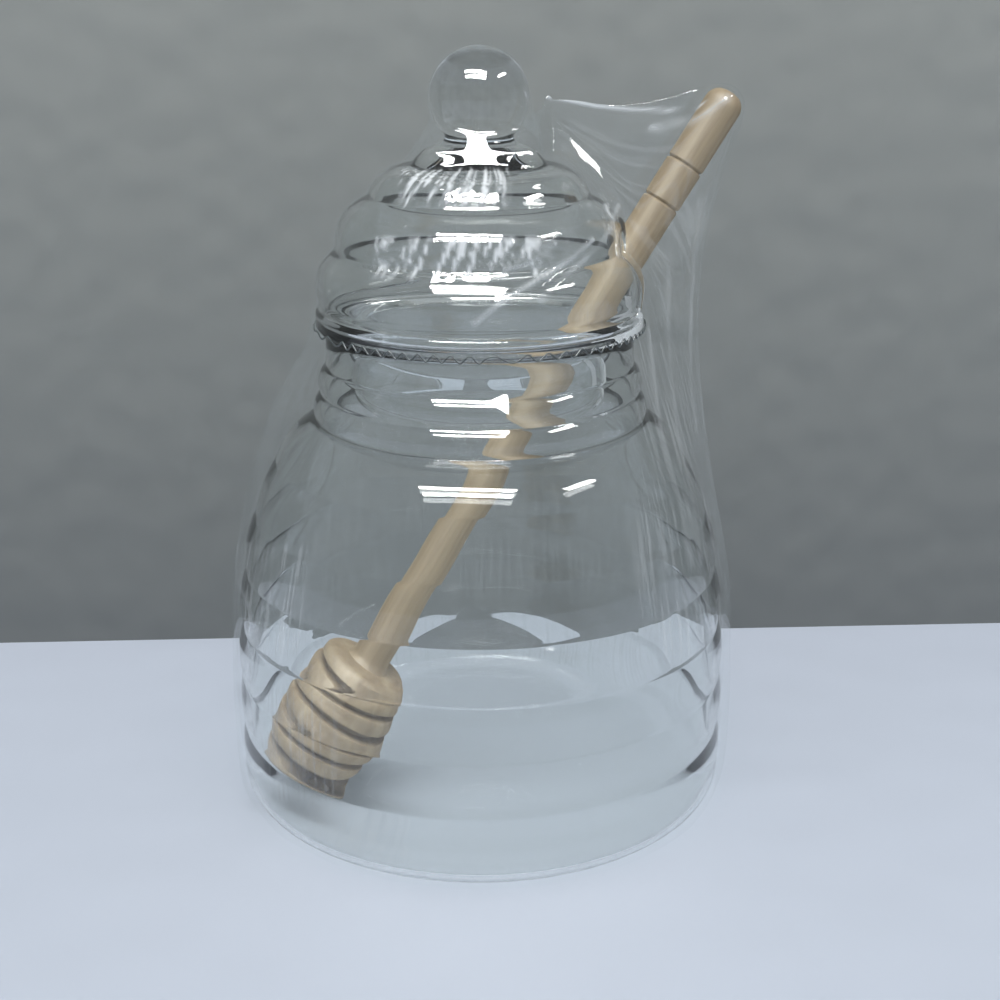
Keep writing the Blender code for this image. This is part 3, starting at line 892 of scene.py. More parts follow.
@dataclass
class Lid:
    """The domed lid: ribs, ball knob, flange, hanging collar, and the round-topped notch."""

    grooves: tuple = ((31.6, 103.6), (28.2, 113.4), (21.7, 123.6), (13.2, 129.5), (7.4, 133.4))
    bulges: tuple = (1.9, 2.3, 2.0, 0.8)
    wall: float = 1.3
    flange_radius: float = 32.4
    flange_underside: float = 98.0
    collar_radius: float = 25.3
    collar_wall: float = 1.2
    collar_bottom: float = 84.0
    ceiling: float = 129.6
    knob_radius: float = 9.6
    knob_height: float = 142.0
    notch_half: float = 6.5
    arch_height: float = 111.5
    segments: int = 192
    unevenness: float = 0.006
    seed: float = 9.0
    rim_radius: float = 1.25
    rim_out: float = 0.15
    notch_reach: tuple = (17.0, 42.0)
    notch_bottom: float = 78.0
    ripple_level: float = 98.6
    ripple_out: float = 0.35
    ripple_turns: tuple = (
        (-180, -75, -52, -10, 2, 14, 24, 40, 60, 80, 180),
        (0, 9, 11, 19, 21, 22, 23.4, 26, 30, 35, 45),
    )
    ripple_fade: tuple = ((0.0, 60.0, 80.0, 110.0), (1.0, 0.9, 0.35, 0.2))
    ripple_depth: float = 0.65
    ripple_thread: float = 0.16

    def outline(self) -> Outline:
        """Draws the section from the dome's ceiling down the inside and back up to the knob's top."""
        inner = self.collar_radius - self.collar_wall
        vault = set_in(ribbed(self.grooves[:-1], self.bulges[:-1], 14, 0.97), self.wall)
        vault = [point for point in vault if 103.9 < point[1] < 128.2]
        throat = [(30.4, 102.6), (30.9, 101.0), (30.5, 99.9), (29.2, 99.5), (26.0, 99.5), (24.8, 99.2)]
        throat += [(inner, 98.2), (inner, 84.7)]
        crown_inside = [(0.0, self.ceiling), (4.0, 129.5), (8.0, 128.9)]
        inside = softened(crown_inside + vault[::-1] + drawn(throat, 0.8), 3)
        foot = [(inner + 0.2, 84.2), (inner + 0.6, self.collar_bottom), (self.collar_radius - 0.2, 84.2)]
        hang = [(self.collar_radius, 84.8), (self.collar_radius, 96.6), (25.9, 97.7)]
        turn_out = (26.6, self.flange_underside)
        collar = drawn([*hang, turn_out], 1.5)
        ledge = drawn([turn_out, (31.3, self.flange_underside)], 1.2)[1:]
        round_edge = self.flange_radius - 1.2
        edge = arc((round_edge, 99.2), 1.2, -80, 0, 6) + arc((round_edge, 101.0), 1.2, 0, 60, 5)
        dome = softened([(31.9, 102.4)] + ribbed(self.grooves, self.bulges, 16), 2)
        knob = arc((0.0, self.knob_height), self.knob_radius, -50, 90, 48)
        crown = softened(dome[-6:] + knob, 2)
        top = dome[:-6] + crown[:-1] + [(0.0, self.knob_height + self.knob_radius)]
        return inside + foot + collar + ledge + edge + top

    def notch(self) -> bpy.types.Object:
        """Makes the round-topped block that the notch is cut with."""
        arch = arc((0.0, self.arch_height), self.notch_half, 0, 180, 32)
        section = [(self.notch_half, self.notch_bottom), *arch, (-self.notch_half, self.notch_bottom)]
        shape = bmesh.new()
        near, far = (
            [shape.verts.new((x * MM, y * MM, z * MM)) for y, z in section] for x in self.notch_reach
        )
        shape.faces.new(near[::-1])
        shape.faces.new(far)
        for index in range(len(section)):
            after = (index + 1) % len(section)
            shape.faces.new((near[index], near[after], far[after], far[index]))
        bmesh.ops.recalc_face_normals(shape, faces=shape.faces)
        mesh = bpy.data.meshes.new("notch")
        shape.to_mesh(mesh)
        shape.free()
        return placed("notch", mesh)

    def on_dome(self, height: float) -> float:
        """Gives the radius of the middle of the dome's wall at a height."""
        spots = np.array(ribbed(self.grooves, self.bulges, 16))
        order = spots[:, 1].argsort()
        return float(np.interp(height, spots[order, 1], spots[order, 0])) - self.wall * 0.5

    def rim_path(self) -> list[tuple[float, float, float]]:
        """Draws the line of the fire-rounded rim round the notch in the dome's wall."""
        half = self.notch_half + self.rim_out
        arch = arc((0.0, self.arch_height), half, 0, 180, 28)
        legs = [(half, z) for z in (102.8, 104.6, 106.4, 108.2, 110.0)]
        line = legs + arch + [(-y, z) for y, z in legs[::-1]]
        return [(math.sqrt(max(self.on_dome(z) ** 2 - y * y, 1.0)), y, z) for y, z in line]

    def build(self, shop: Workshop, glass: bpy.types.Material) -> bpy.types.Object:
        """Turns the section, cuts the notch and rounds its rim.

        Args:
            shop: the shared trees.
            glass: the lid's material.

        Returns:
            The lid's piece.
        """
        piece = chain("domed_lid", [(r, 0.0, z) for r, z in self.outline()])
        shop.turned(piece, self.segments, self.unevenness, self.seed, glass)
        shaded(piece, Shading.ROUND)
        rim = chain("notch_rim", self.rim_path())
        shaded(shop.beaded(rim, self.rim_radius, 14, True, glass), Shading.ROUND)
        cutter = self.notch()
        for tool, operation in ((cutter, "DIFFERENCE"), (rim, "UNION")):
            step = piece.modifiers.new("notch", "BOOLEAN")
            step.operation = operation
            step.solver = "MANIFOLD"
            step.object = tool
            flattened(piece)
            bpy.data.objects.remove(tool)
        shaded(piece, Shading.CREASED)
        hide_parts("lid")
        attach(piece, "root")
        return piece

    def build_ripple(self, shop: Workshop, edge: bpy.types.Material) -> bpy.types.Object:
        """Lays the thin rippled line along the flange's lower edge; its near-black colour is painted shade.

        Args:
            shop: the shared trees.
            edge: its material.

        Returns:
            The ripple's piece.
        """
        points = []
        steps = 1200
        for step in range(steps + 1):
            turn = math.tau * step / steps
            across = math.degrees(math.remainder(turn + math.pi / 2, math.tau))
            phase = float(np.interp(across, *self.ripple_turns)) * math.tau
            deep = float(np.interp(abs(across), *self.ripple_fade))
            height = self.ripple_level + self.ripple_depth * deep * math.sin(phase)
            radius = self.flange_radius + self.ripple_out
            points.append((radius * math.cos(turn), radius * math.sin(turn), height))
        piece = chain("flange_ripple", points)
        shaded(shop.beaded(piece, self.ripple_thread, 6, False, edge), Shading.ROUND)
        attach(piece, "root")
        return piece


@dataclass
class Dipper:
    """The turned wooden dipper: grooved head, shaft and handle with its two cut rings."""

    foot: tuple = (-36.6, -15.4, 8.6)
    tip: tuple = (48.2, 3.0, 142.7)
    head_length: float = 25.5
    middle_radius: float = 11.2
    end_radius: float = 8.8
    head_grooves: int = 6
    pitch: float = 3.9
    first_groove: float = 3.1
    groove_half: float = 0.62
    groove_depth: float = 2.0
    shaft_radius: float = 3.4
    neck_radius: float = 3.9
    handle_radius: float = 3.75
    handle_start: float = 118.0
    rings: tuple = (16.1, 24.4)
    segments: int = 96
    unevenness: float = 0.012
    seed: float = 2.0

    def length(self) -> float:
        """Gives the dipper's whole length."""
        return (Vector(self.tip) - Vector(self.foot)).length

    def turn(self) -> Matrix:
        """Gives the turn from straight up to the dipper's own line."""
        along = (Vector(self.tip) - Vector(self.foot)).normalized()
        return Vector((0, 0, 1)).rotation_difference(along).to_matrix().to_4x4()

    def head_radius(self, along: float) -> float:
        """Gives the head's radius at a distance from its end."""
        middle = self.head_length / 2
        across = (along - middle) / middle
        return self.middle_radius - (self.middle_radius - self.end_radius) * across * across

    def outline(self) -> Outline:
        """Draws the section from the head's end to the handle's tip."""
        points: Outline = [(0.0, 0.0), (3.0, 0.05), (5.6, 0.25), (7.0, 0.6), (self.end_radius - 0.9, 1.2)]
        for groove in range(self.head_grooves):
            centre = self.first_groove + self.pitch * groove
            low, high = centre - self.groove_half, centre + self.groove_half
            start = points[-1][1]
            land = [(self.head_radius(z), z) for z in np.linspace(start + 0.4, low - 0.35, 4).tolist()]
            points += land
            for end, side in ((low, -1), (high, 1)):
                surface = self.head_radius(end)
                lip = [(surface - 0.1, end + side * 0.08), (surface - 0.45, end - side * 0.02)]
                bottom = (surface - self.groove_depth, centre + side * self.groove_half * 0.8)
                points += [*lip, bottom] if side < 0 else [bottom, *lip[::-1]]
        last = points[-1][1]
        levels = (last + 0.35, (last + self.head_length) / 2, self.head_length - 0.6)
        points += [(self.head_radius(z), z) for z in levels]
        top = self.head_length
        points += [(self.end_radius - 0.35, top - 0.12), (self.end_radius - 0.9, top)]
        points += [(self.neck_radius + 0.7, top + 0.1), (self.neck_radius + 0.2, top + 0.7)]
        points += [(self.neck_radius, top + 2.0), (self.shaft_radius, 62.0)]
        points += [(self.shaft_radius, 98.0), (self.handle_radius, self.handle_start)]
        end = self.length()
        for ring in sorted(self.rings, reverse=True):
            middle = end - ring
            points += [(self.handle_radius, middle - 0.45), (self.handle_radius - 0.12, middle - 0.3)]
            points += [(self.handle_radius - 0.5, middle), (self.handle_radius - 0.12, middle + 0.3)]
            points.append((self.handle_radius, middle + 0.45))
        tip = ((3.75, 0.0), (3.7, 0.8), (3.4, 1.6), (2.9, 2.3), (2.2, 2.8), (1.2, 3.1), (0.0, 3.2))
        return points + [(r, z + end - tip[-1][1]) for r, z in tip]

    def chipped(self, shape: bmesh.types.BMesh) -> None:
        """Breaks the head's top disc where it is chipped, and shallows one groove on its left."""
        for vert in shape.verts:
            spot = vert.co / MM
            radius = math.hypot(spot.x, spot.y)
            if not 1.5 < spot.z < self.head_length + 0.2 or radius < self.neck_radius + 1.0:
                continue
            turn = math.atan2(spot.y, spot.x)
            shallow = max(0.0, math.cos(turn - math.radians(200))) ** 2
            fourth = math.exp(-(((spot.z - (self.first_groove + self.pitch * 2)) / 0.9) ** 2))
            surface = self.head_radius(spot.z)
            lift = (surface - radius) * 0.8 * shallow * fourth
            wobble = 0.12 * math.sin(3 * turn + spot.z * 1.7)
            around, up = (turn + math.radians(75)) / 0.22, spot.z - 22.0
            chip = math.exp(-(around**2)) * math.exp(-(up**2))
            scale = (radius + lift + wobble - 0.9 * chip) / radius
            vert.co.x *= scale
            vert.co.y *= scale

    def build(self, shop: Workshop) -> bpy.types.Object:
        """Turns the section, wears the head and stands it on its line.

        Args:
            shop: the shared trees.

        Returns:
            The dipper's piece.
        """
        turn = self.turn()
        wood = WoodFinish("bare_pale_wood", line=tuple(turn.inverted().to_euler())).make(shop)
        piece = chain("turned_dipper", [(r, 0.0, z) for r, z in drawn(self.outline(), 1.0)])
        shop.turned(piece, self.segments, self.unevenness, self.seed, wood)
        shape = bmesh.new()
        shape.from_mesh(piece.data)
        self.chipped(shape)
        stand = Matrix.Translation(Vector(self.foot) * MM) @ turn
        bmesh.ops.transform(shape, matrix=stand, verts=shape.verts)
        shape.to_mesh(piece.data)
        shape.free()
        shaded(piece, Shading.CREASED)
        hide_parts("dipper")
        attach(piece, "root")
        return piece


@dataclass(frozen=True)
class Lamp:
    """A soft rectangular light.

    Args:
        name: the light's name.
        place: where it hangs, in metres.
        aim: what it faces.
        size: its two sides.
        power: watts.
        crisp: True if it only draws highlights, False if it only lights surfaces.
    """

    name: str
    place: tuple[float, float, float]
    aim: tuple[float, float, float]
    size: tuple[float, float]
    power: float
    crisp: bool = True

    def hang(self) -> None:
        """Adds the light to the scene."""
        data = bpy.data.lights.new(self.name, "AREA")
        data.shape = "RECTANGLE"
        data.size, data.size_y = self.size
        data.energy = self.power
        made = bpy.data.objects.new(self.name, data)
        bpy.context.scene.collection.objects.link(made)
        made.location = self.place
        away = Vector(self.place) - Vector(self.aim)
        made.rotation_euler = away.to_track_quat("Z", "Y").to_euler()
        if self.crisp:
            made.visible_diffuse = False
        else:
            made.visible_glossy = False
            made.visible_transmission = False


@dataclass
class Studio:
    """Camera, floor, backdrop and lights."""

    camera_place: tuple = (4.0, -312.4, 164.7)
    camera_down: float = 18.29
    lens: float = 57.6
    backdrop_middle: tuple = (4.0, 75.6)
    backdrop_turn: float = 2.9
    floor_drop: float = 0.3
    lamps: tuple = (
        Lamp("top_light", (0.1, -0.6, 1.9), (0.0, 0.0, 0.05), (1.6, 1.6), 34.0, crisp=False),
        Lamp("upper_panel", (-0.11, -0.58, 1.22), (0.0, 0.0, 0.1), (0.94, 0.14), 32.0),
        Lamp("lower_panel", (-0.12, -0.80, 1.08), (0.0, 0.0, 0.1), (0.94, 0.14), 32.0),
        Lamp("side_panel", (0.89, -0.29, 1.0), (0.0, 0.0, 0.1), (0.42, 0.12), 7.0),
    )
    glow: tuple = (0.80, 0.86, 0.9)
    glow_strength: float = 0.50

    def camera(self) -> bpy.types.Object:
        """Places the camera at the photograph's viewing angle."""
        data = bpy.data.cameras.new("camera")
        data.lens = self.lens
        data.sensor_width = SENSOR
        data.clip_start = 0.01
        data.clip_end = 20.0
        made = bpy.data.objects.new("camera", data)
        bpy.context.scene.collection.objects.link(made)
        made.location = Vector(self.camera_place) * MM
        made.rotation_euler = (math.radians(90.0 - self.camera_down), 0.0, 0.0)
        bpy.context.scene.camera = made
        return made

    def view(self) -> tuple[Vector, Vector, float]:
        """Gives the directions ahead of and above the camera, and its focal length in pixels."""
        down = math.radians(self.camera_down)
        ahead = Vector((0.0, math.cos(down), -math.sin(down)))
        up = Vector((0.0, math.sin(down), math.cos(down)))
        return ahead, up, self.lens / SENSOR * PICTURE

    def pixel_ray(self, px: float, py: float) -> tuple[Vector, Vector]:
        """Gives the camera's place and the direction through a point of the picture."""
        ahead, up, focal = self.view()
        right = Vector((1.0, 0.0, 0.0))
        aim = ahead * focal + right * (px - PICTURE / 2) + up * (PICTURE / 2 - py)
        return Vector(self.camera_place) * MM, aim.normalized()

    def picture_point(self, place: Vector) -> tuple[float, float, bool]:
        """Gives the picture point of a place in metres, and whether it is on the side the camera sees."""
        ahead, up, focal = self.view()
        off = place - Vector(self.camera_place) * MM
        scale = focal / off.dot(ahead)
        return PICTURE / 2 + scale * off.x, PICTURE / 2 - scale * off.dot(up), place.y < 0.004

    def sheet(self, name: str, corners: Sequence[Vector], finish: StageFinish, shop: Workshop) -> None:
        """Adds a flat stage surface."""
        mesh = bpy.data.meshes.new(name)
        mesh.from_pydata(corners, [], [tuple(range(len(corners)))])
        mesh.materials.append(finish.make(shop))
        placed(name, mesh)

    def stage(self, shop: Workshop) -> None:
        """Adds the pale floor and the grey-green backdrop."""
        drop = -self.floor_drop * MM
        corners = [Vector((x, y, drop)) for x, y in ((-2.0, -2.0), (2.0, -2.0), (2.0, 2.0), (-2.0, 2.0))]
        finish = StageFinish("pale_floor", (0.54, 0.585, 0.67), (0.575, 0.62, 0.71))
        self.sheet("floor", corners, finish, shop)
        turn = math.radians(self.backdrop_turn)
        along = Vector((math.cos(turn), math.sin(turn), 0.0))
        middle = Vector((*self.backdrop_middle, 0.0)) * MM
        low, high = middle - along * 1.5, middle + along * 1.5
        up = Vector((0.0, 0.0, 1.6))
        base = Vector((0.0, 0.0, drop))
        corners = [low + base, high + base, high + up, low + up]
        # The backdrop is painted darker towards its foot: painted shade.
        finish = StageFinish(
            "grey_backdrop",
            (0.185, 0.196, 0.196),
            (0.325, 0.335, 0.315),
            painted_shade_rise=0.16,
            closeness=18.0,
            roughness=0.85,
            one_sided=True,
        )
        self.sheet("backdrop", corners, finish, shop)

    def lights(self) -> None:
        """Adds the soft top light, the three crisp panels that draw the highlights, and an even glow."""
        for lamp in self.lamps:
            lamp.hang()
        world = bpy.data.worlds.new("even_glow")
        world.use_nodes = True
        shade = world.node_tree.nodes["Background"]
        shade.inputs["Color"].default_value = (*self.glow, 1.0)
        shade.inputs["Strength"].default_value = self.glow_strength
        bpy.context.scene.world = world


@dataclass(frozen=True)
class Fold:
    """A long narrow fold across the film's front.

    Args:
        line: the picture points that it passes, in pixels.
        height: how far it rises, in millimetres.
        width: its half width, in millimetres.
        white: how white its crest is painted: partly milky film, partly a painted glint.
    """

    line: tuple
    height: float
    width: float
    white: float


@dataclass(frozen=True)
class Run:
    """A run of pleats on the film's front.

    Args:
        cast: which way they lie.
        box: left, top, right and bottom of where the camera sees them, in pixels.
        strength: how strongly they are raised and painted white; on the leaning runs this white is a painted
            glint, on the upright runs partly milky film, partly painted glint.
    """

    cast: Cast
    box: tuple[float, float, float, float]
    strength: float


# The white painted on each fold's crest is partly milky film, partly a painted glint; along the tent's ridge,
# at the handle's tip and beside the handle it is mostly a painted glint.
FOLDS = {
    "flange_to_handle": Fold(((474, 324), (500, 303), (530, 285), (560, 266), (592, 240)), 0.45, 0.7, 0.5),
    "flange_to_notch": Fold(((540, 300), (575, 268), (606, 236), (618, 206)), 0.4, 0.8, 0.3),
    "dome_to_notch": Fold(((516, 262), (552, 240), (590, 205)), 0.3, 0.6, 0.25),
    "dome_right": Fold(((505, 270), (530, 262), (556, 243)), 0.2, 0.5, 0.45),
    "neck_left": Fold(((385, 330), (378, 400), (362, 489)), 0.2, 0.5, 0.12),
    "flank_inner": Fold(((648, 330), (660, 430), (690, 560)), 0.3, 0.9, 0.2),
    "flank_outer": Fold(((676, 150), (668, 300), (676, 430), (700, 560)), 0.35, 1.0, 0.16),
    "flank_edge": Fold(((700, 200), (690, 330), (696, 430)), 0.3, 0.8, 0.2),
    "painted_glint_tent_crest": Fold(
        ((525, 94), (548, 97), (572, 101), (596, 106), (632, 109.5), (668, 109.5), (702, 105)), 0.1, 0.5, 0.6
    ),
    "handle_tip": Fold(((652, 127), (676, 125), (704, 116), (728, 98)), 0.35, 0.9, 0.45),
    "body_left": Fold(((238, 545), (243, 590), (262, 640)), 0.2, 0.8, 0.25),
    "painted_glint_beside_handle": Fold(((606, 206), (613, 228)), 0.1, 0.9, 0.5),
}
# The leaning runs on the dome paint white streaks on their pleats: painted glints.
RUNS = {
    "dome_top_pleat_glints": Run(Cast.LEANING, (402, 170, 506, 206), 1.0),
    "dome_middle_pleat_glints": Run(Cast.LEANING, (374, 238, 548, 278), 0.9),
    "body_left": Run(Cast.UPRIGHT, (238, 545, 306, 655), 0.2),
    "over_head": Run(Cast.UPRIGHT, (262, 690, 335, 800), 0.2),
    "flank": Run(Cast.UPRIGHT, (636, 340, 725, 660), 0.14),
    "tent": Run(Cast.UPRIGHT, (560, 120, 720, 330), 0.08),
}


def share_of(value: float, start: float, over: float) -> float:
    """Gives how far a value has come from its start, as a share of a span from 0 to 1."""
    return min(1.0, max(0.0, (value - start) / over))


def eased(values: np.ndarray, passes: int) -> np.ndarray:
    """Smooths a sheet of values along its rows and round its lines, keeping the first and last row's level.

    Args:
        values: rows by lines, with any number of measures each.
        passes: how many times.

    Returns:
        The smoothed sheet.
    """
    for _ in range(passes):
        values[1:-1] = 0.25 * values[:-2] + 0.5 * values[1:-1] + 0.25 * values[2:]
        values = 0.25 * np.roll(values, 1, axis=1) + 0.5 * values + 0.25 * np.roll(values, -1, axis=1)
    return values


@dataclass
class FilmWrap:
    """The taut clear film over jar, lid and handle, taken along rays from a point inside it."""

    lid: Lid
    dipper: Dipper
    centre: tuple = (14.0, 0.0, 98.0)
    edge_level: float = 1.8
    edge_radius: float = 50.2
    rows: int = 330
    lines: int = 340
    smoothing: int = 4
    inset: float = 0.2
    stand_off: float = 0.35
    hug_turn: tuple = (25.0, 45.0)
    hug_level: tuple = (76.0, 8.0)
    knob_reach: tuple = (12.8, 2.0)
    knob_level: float = 140.5
    skirt: tuple = (
        (46.0, 74.0),
        (43.4, 79.0),
        (41.4, 83.0),
        (37.7, 89.5),
        (35.0, 94.0),
        (33.5, 99.0),
        (33.0, 102.0),
    )
    tent_depth: float = 34.0
    tent_start: float = 9.0
    tent_end: float = 46.0
    tent_blend: float = 5.0
    tent_least: float = 0.1
    tent_power: float = 0.8
    ridge: tuple = ((8.0, 0.0, 141.5), (30.0, 1.6, 139.3), (45.0, 2.7, 141.6))
    cone_level: float = 133.0
    cone_reach: float = 6.0
    cone_end: float = 11.0
    handle_gap: float = 0.4
    back_share: float = 0.08
    pleat_depth: float = 0.32
    fade_across: float = 12.0
    fade_up: float = 8.0

    def skin(self) -> BVHTree:
        """Reads the film's own solid as a surface to measure against."""
        shape = bmesh.new()
        shape.from_mesh(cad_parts["film_wrap"].data)
        bmesh.ops.remove_doubles(shape, verts=shape.verts, dist=5 * WELD)
        tree = BVHTree.FromBMesh(shape)
        shape.free()
        return tree

    def hug_outline(self) -> Outline:
        """Draws the section of what the film hugs, from the jar's shoulder up to the knob's top."""
        lid = self.lid
        dome = softened(ribbed(lid.grooves[:-1], lid.bulges[:-1], 16), 4)
        knob = arc((0.0, lid.knob_height), lid.knob_radius + self.stand_off, -24, 90, 24)
        dome = [(r + self.stand_off, z + 0.2) for r, z in dome[2:] if r > 14.3]
        return softened(drawn(list(self.skirt) + dome + knob, 0.6), 2)

    def former(self) -> BVHTree:
        """Makes the turned form that the film hugs, from the shoulder to the knob.

        Returns:
            The form as a surface to measure against.
        """
        hug = self.hug_outline()
        sides = 160
        turns = [math.tau * side / sides for side in range(sides)]
        spots = [(r * math.cos(turn) * MM, r * math.sin(turn) * MM, z * MM) for r, z in hug for turn in turns]
        faces = []
        for ring in range(len(hug) - 1):
            for side in range(sides):
                this, after = ring * sides + side, ring * sides + (side + 1) % sides
                faces.append((this, after, after + sides, this + sides))
        return BVHTree.FromPolygons(spots, faces)

    def hug_share(self, spot: Vector) -> float:
        """Says how closely the film hugs the lid, from 0 beside the handle to 1 at the front and left."""
        around = share_of(abs(math.degrees(math.atan2(spot.y, spot.x))), *self.hug_turn)
        above = share_of(spot.z / MM, *self.hug_level)
        reach, over = self.knob_reach
        out = math.hypot(spot.x, spot.y) / MM
        knob = share_of(-out, -reach, over) if spot.z > self.knob_level * MM else 0.0
        return max(around * around * (3 - 2 * around) * above, knob)

    def grid(self, tree: BVHTree, former: BVHTree) -> np.ndarray:
        """Casts a ray for each point of the sheet.

        Args:
            tree: the film's solid.
            former: the form it hugs.

        Returns:
            Points in metres, rows from the top down, lines round the jar.
        """
        centre = Vector(self.centre) * MM
        reach = np.zeros((self.rows, self.lines))
        aims = np.zeros((self.rows, self.lines, 3))
        for line in range(self.lines):
            azimuth = math.tau * line / self.lines
            beside = self.centre[0] * math.cos(azimuth)
            out = math.sqrt(beside**2 - self.centre[0] ** 2 + self.edge_radius**2) - beside
            lowest = math.atan2(self.centre[2] - self.edge_level, out)
            for row in range(self.rows):
                down = -math.pi / 2 + row / (self.rows - 1) * (math.pi / 2 + lowest)
                flat = math.cos(down)
                aim = Vector((flat * math.cos(azimuth), flat * math.sin(azimuth), -math.sin(down)))
                aims[row, line] = aim
                far = tree.ray_cast(centre + aim * FAR, -aim, FAR)
                reach[row, line] = (FAR - far[3]) if far[0] is not None else np.nan
                close = former.ray_cast(centre + aim * FAR, -aim, FAR)
                if far[0] is not None and close[0] is not None:
                    share = self.hug_share(far[0])
                    reach[row, line] += share * (FAR - close[3] - reach[row, line])
        return self.settled(reach, aims)

    def settled(self, reach: np.ndarray, aims: np.ndarray) -> np.ndarray:
        """Smooths the facets out of the reach along each ray and returns the points."""
        for line in range(self.lines):
            column = reach[:, line]
            good = ~np.isnan(column)
            column[~good] = column[good][-1]
        reach[0] = reach[0].mean()
        reach = eased(reach, self.smoothing)
        points = np.array(Vector(self.centre) * MM) + aims * (reach[..., None] - self.inset * MM)
        spots = eased(self.off_handle(self.off_lid(*self.pinched(points))), 2)
        spots[0] = spots[0].mean(axis=0)
        return spots * MM

    def pinched(self, points: np.ndarray) -> tuple[np.ndarray, np.ndarray, np.ndarray]:
        """Draws the tent between knob and handle tight.

        Args:
            points: the sheet in metres.

        Returns:
            The sheet's x, y and z in millimetres.
        """
        x, y, z = (points[..., axis] / MM for axis in range(3))
        stops = np.array(self.ridge)
        middle = np.interp(x, stops[:, 0], stops[:, 1])
        crest = np.interp(x, stops[:, 0], stops[:, 2])
        begins = np.clip((x - self.tent_start) / self.tent_blend, 0, 1)
        along = begins * np.clip((self.tent_end - x) / self.tent_blend, 0, 1)
        depth = np.clip((crest - z) / self.tent_depth, 0, 1)
        width = self.tent_least + (1.0 - self.tent_least) * depth**self.tent_power
        return x, y + (middle - y) * along * (1.0 - width), z

    def off_lid(self, x: np.ndarray, y: np.ndarray, z: np.ndarray) -> np.ndarray:
        """Keeps the sheet off the lid, and squares it a little below the knob's front.

        Args:
            x: the sheet's x in millimetres.
            y: its y.
            z: its z.

        Returns:
            The sheet in millimetres.
        """
        hug = np.array(self.hug_outline())
        beside = (z > self.lid.flange_underside - 2.0) * (z < hug[-1, 1] - 1.0)
        least = np.interp(z, hug[:, 1], hug[:, 0]) * beside
        wide = np.maximum(least / np.maximum(np.hypot(x, y), 1e-6), 1.0)
        turn = np.arctan2(y, x)
        squared = (np.abs(np.cos(turn)) ** 4 + np.abs(np.sin(turn)) ** 4) ** -0.25
        near = np.clip(1.0 - np.abs(z - self.cone_level) / self.cone_reach, 0, 1)
        cone = near * (y < 0) * (x < self.cone_end)
        wide *= 1.0 + (squared - 1.0) * cone
        return np.stack([x * wide, y * wide, z], axis=-1)

    def off_handle(self, spots: np.ndarray) -> np.ndarray:
        """Keeps the sheet off the dipper's handle.

        Args:
            spots: the sheet in millimetres.

        Returns:
            The sheet in millimetres.
        """
        foot, tip = np.array(self.dipper.foot), np.array(self.dipper.tip)
        run = (tip - foot) / np.linalg.norm(tip - foot)
        share = np.clip((spots - foot) @ run, 0, np.linalg.norm(tip - foot) - self.dipper.handle_radius)
        nearest = foot + share[..., None] * run
        off = np.linalg.norm(spots - nearest, axis=-1)
        grown = np.maximum((self.dipper.handle_radius + self.handle_gap) / np.maximum(off, 1e-6), 1.0)
        return nearest + (spots - nearest) * grown[..., None]

    def crease(self, piece: bpy.types.Object, studio: Studio) -> None:
        """Raises the long narrow folds that cross the film's front, and paints their crests white, partly as
        painted glints.

        Args:
            piece: the film's piece.
            studio: gives the place of what a picture point shows.
        """
        mesh = piece.data
        count = len(mesh.vertices)
        spots, facing = np.zeros(count * 3), np.zeros(count * 3)
        mesh.vertices.foreach_get("co", spots)
        mesh.vertices.foreach_get("normal", facing)
        spots, facing = spots.reshape(-1, 3), facing.reshape(-1, 3)
        tree = BVHTree.FromObject(piece, bpy.context.evaluated_depsgraph_get())
        crest = np.zeros(count)
        for name, fold in FOLDS.items():
            hits = [tree.ray_cast(*studio.pixel_ray(px, py))[0] for px, py in fold.line]
            stops = [np.array(hit) for hit in hits if hit is not None]
            if len(stops) < 2:
                log.warning("fold %s misses the film", name)
                continue
            away = np.full(count, 1.0)
            for low, high in zip(stops, stops[1:]):
                run = high - low
                share = np.clip(((spots - low) @ run) / (run @ run), 0, 1)
                away = np.minimum(away, np.linalg.norm(spots - (low + share[:, None] * run), axis=1))
            lift = np.exp(-((away / (fold.width * MM)) ** 2))
            spots += facing * (fold.height * MM * lift)[:, None]
            # Each fold's crest is painted white: partly milky film, partly a painted glint.
            crest = np.maximum(crest, fold.white * lift**2)
        mesh.vertices.foreach_set("co", spots.ravel())
        mesh.update()
        mesh.attributes.new("crest", "FLOAT", "POINT").data.foreach_set("value", crest.astype(np.float32))

    def mark(self, piece: bpy.types.Object, studio: Studio) -> None:
        """Writes on each point how strongly each kind of pleat is raised there, which also sets how white its
        pleats are painted, partly as painted glints.

        Args:
            piece: the film's piece.
            studio: gives the picture point of a place.
        """
        masks = {cast.value: np.zeros(len(piece.data.vertices), dtype=np.float32) for cast in Cast}
        for vert in piece.data.vertices:
            px, py, front = studio.picture_point(vert.co)
            if not front:
                masks[Cast.UPRIGHT.value][vert.index] = self.back_share
                continue
            for run in RUNS.values():
                left, top, right, bottom = run.box
                across = min(px - left, right - px) / self.fade_across
                inside = min(across, min(py - top, bottom - py) / self.fade_up)
                mask = masks[run.cast.value]
                mask[vert.index] = max(mask[vert.index], run.strength * share_of(inside, -0.5, 1.0))
        for name, values in masks.items():
            made = piece.data.attributes.new(name, "FLOAT", "POINT")
            made.data.foreach_set("value", values)

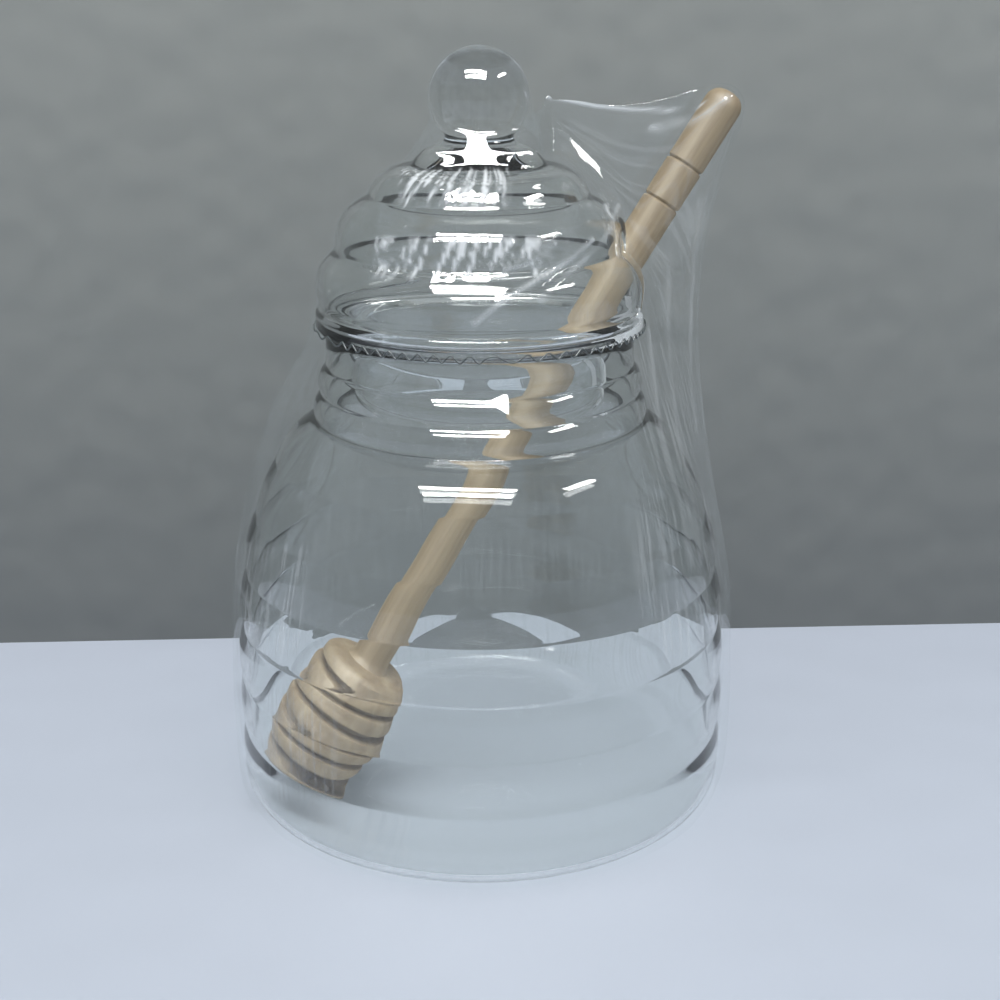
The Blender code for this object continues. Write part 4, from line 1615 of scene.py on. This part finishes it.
    def build(self, shop: Workshop, studio: Studio, film: bpy.types.Material) -> bpy.types.Object:
        """Makes the sheet with its folds and pleats.

        Args:
            shop: the shared trees.
            studio: gives the place of what a picture point shows.
            film: the film's material.

        Returns:
            The film's piece.
        """
        points = self.grid(self.skin(), self.former())
        shape = bmesh.new()
        top = shape.verts.new(points[0, 0])
        rows = [[shape.verts.new(spot) for spot in row] for row in points[1:]]
        for line in range(self.lines):
            after = (line + 1) % self.lines
            shape.faces.new((top, rows[0][line], rows[0][after]))
            for high, low in zip(rows, rows[1:]):
                shape.faces.new((high[line], low[line], low[after], high[after]))
        mesh = bpy.data.meshes.new("clear_film_wrap")
        shape.to_mesh(mesh)
        shape.free()
        piece = placed("clear_film_wrap", mesh)
        self.crease(piece, studio)
        self.mark(piece, studio)
        shop.shaped(piece, shop.pleats, {"Depth": self.pleat_depth * MM, "Material": film})
        piece.data.polygons.foreach_set("use_smooth", [True] * len(piece.data.polygons))
        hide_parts("film_wrap")
        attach(piece, "root")
        return piece


def set_light_paths() -> None:
    """Sets how far light is followed through the glass and the film, and the plain colour view."""
    scene = bpy.context.scene
    scene.view_settings.view_transform = "Standard"
    cycles = scene.cycles
    cycles.max_bounces = 11
    cycles.transmission_bounces = 11
    cycles.diffuse_bounces = 2
    cycles.glossy_bounces = 3
    cycles.adaptive_threshold = 0.1
    cycles.transparent_max_bounces = 16
    cycles.caustics_reflective = False
    cycles.caustics_refractive = False


def main() -> None:
    """Builds and dresses every piece."""
    logging.basicConfig(level=logging.INFO, format="%(name)s: %(message)s", stream=sys.stdout)
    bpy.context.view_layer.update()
    set_light_paths()
    studio = Studio()
    studio.camera()
    shop = Workshop()
    studio.stage(shop)
    studio.lights()
    glass = GlassFinish("clear_soda_glass").make(shop)
    pieces = [Jar().build(shop, glass)]
    lid = Lid()
    lid_glass = GlassFinish("clear_lid_glass", wave_scale=46.0, solid_above=0.1345).make(shop)
    pieces.append(lid.build(shop, lid_glass))
    pieces.append(lid.build_ripple(shop, PaintedShadeLineFinish("painted_shade_line").make(shop)))
    dipper = Dipper()
    pieces.append(dipper.build(shop))
    film = FilmFinish("clear_thin_film").make(shop)
    pieces.append(FilmWrap(lid, dipper).build(shop, studio, film))
    for piece in pieces:
        log.info("%s: %d faces", piece.name, len(piece.data.polygons))


if __name__ == "__main__":
    main()
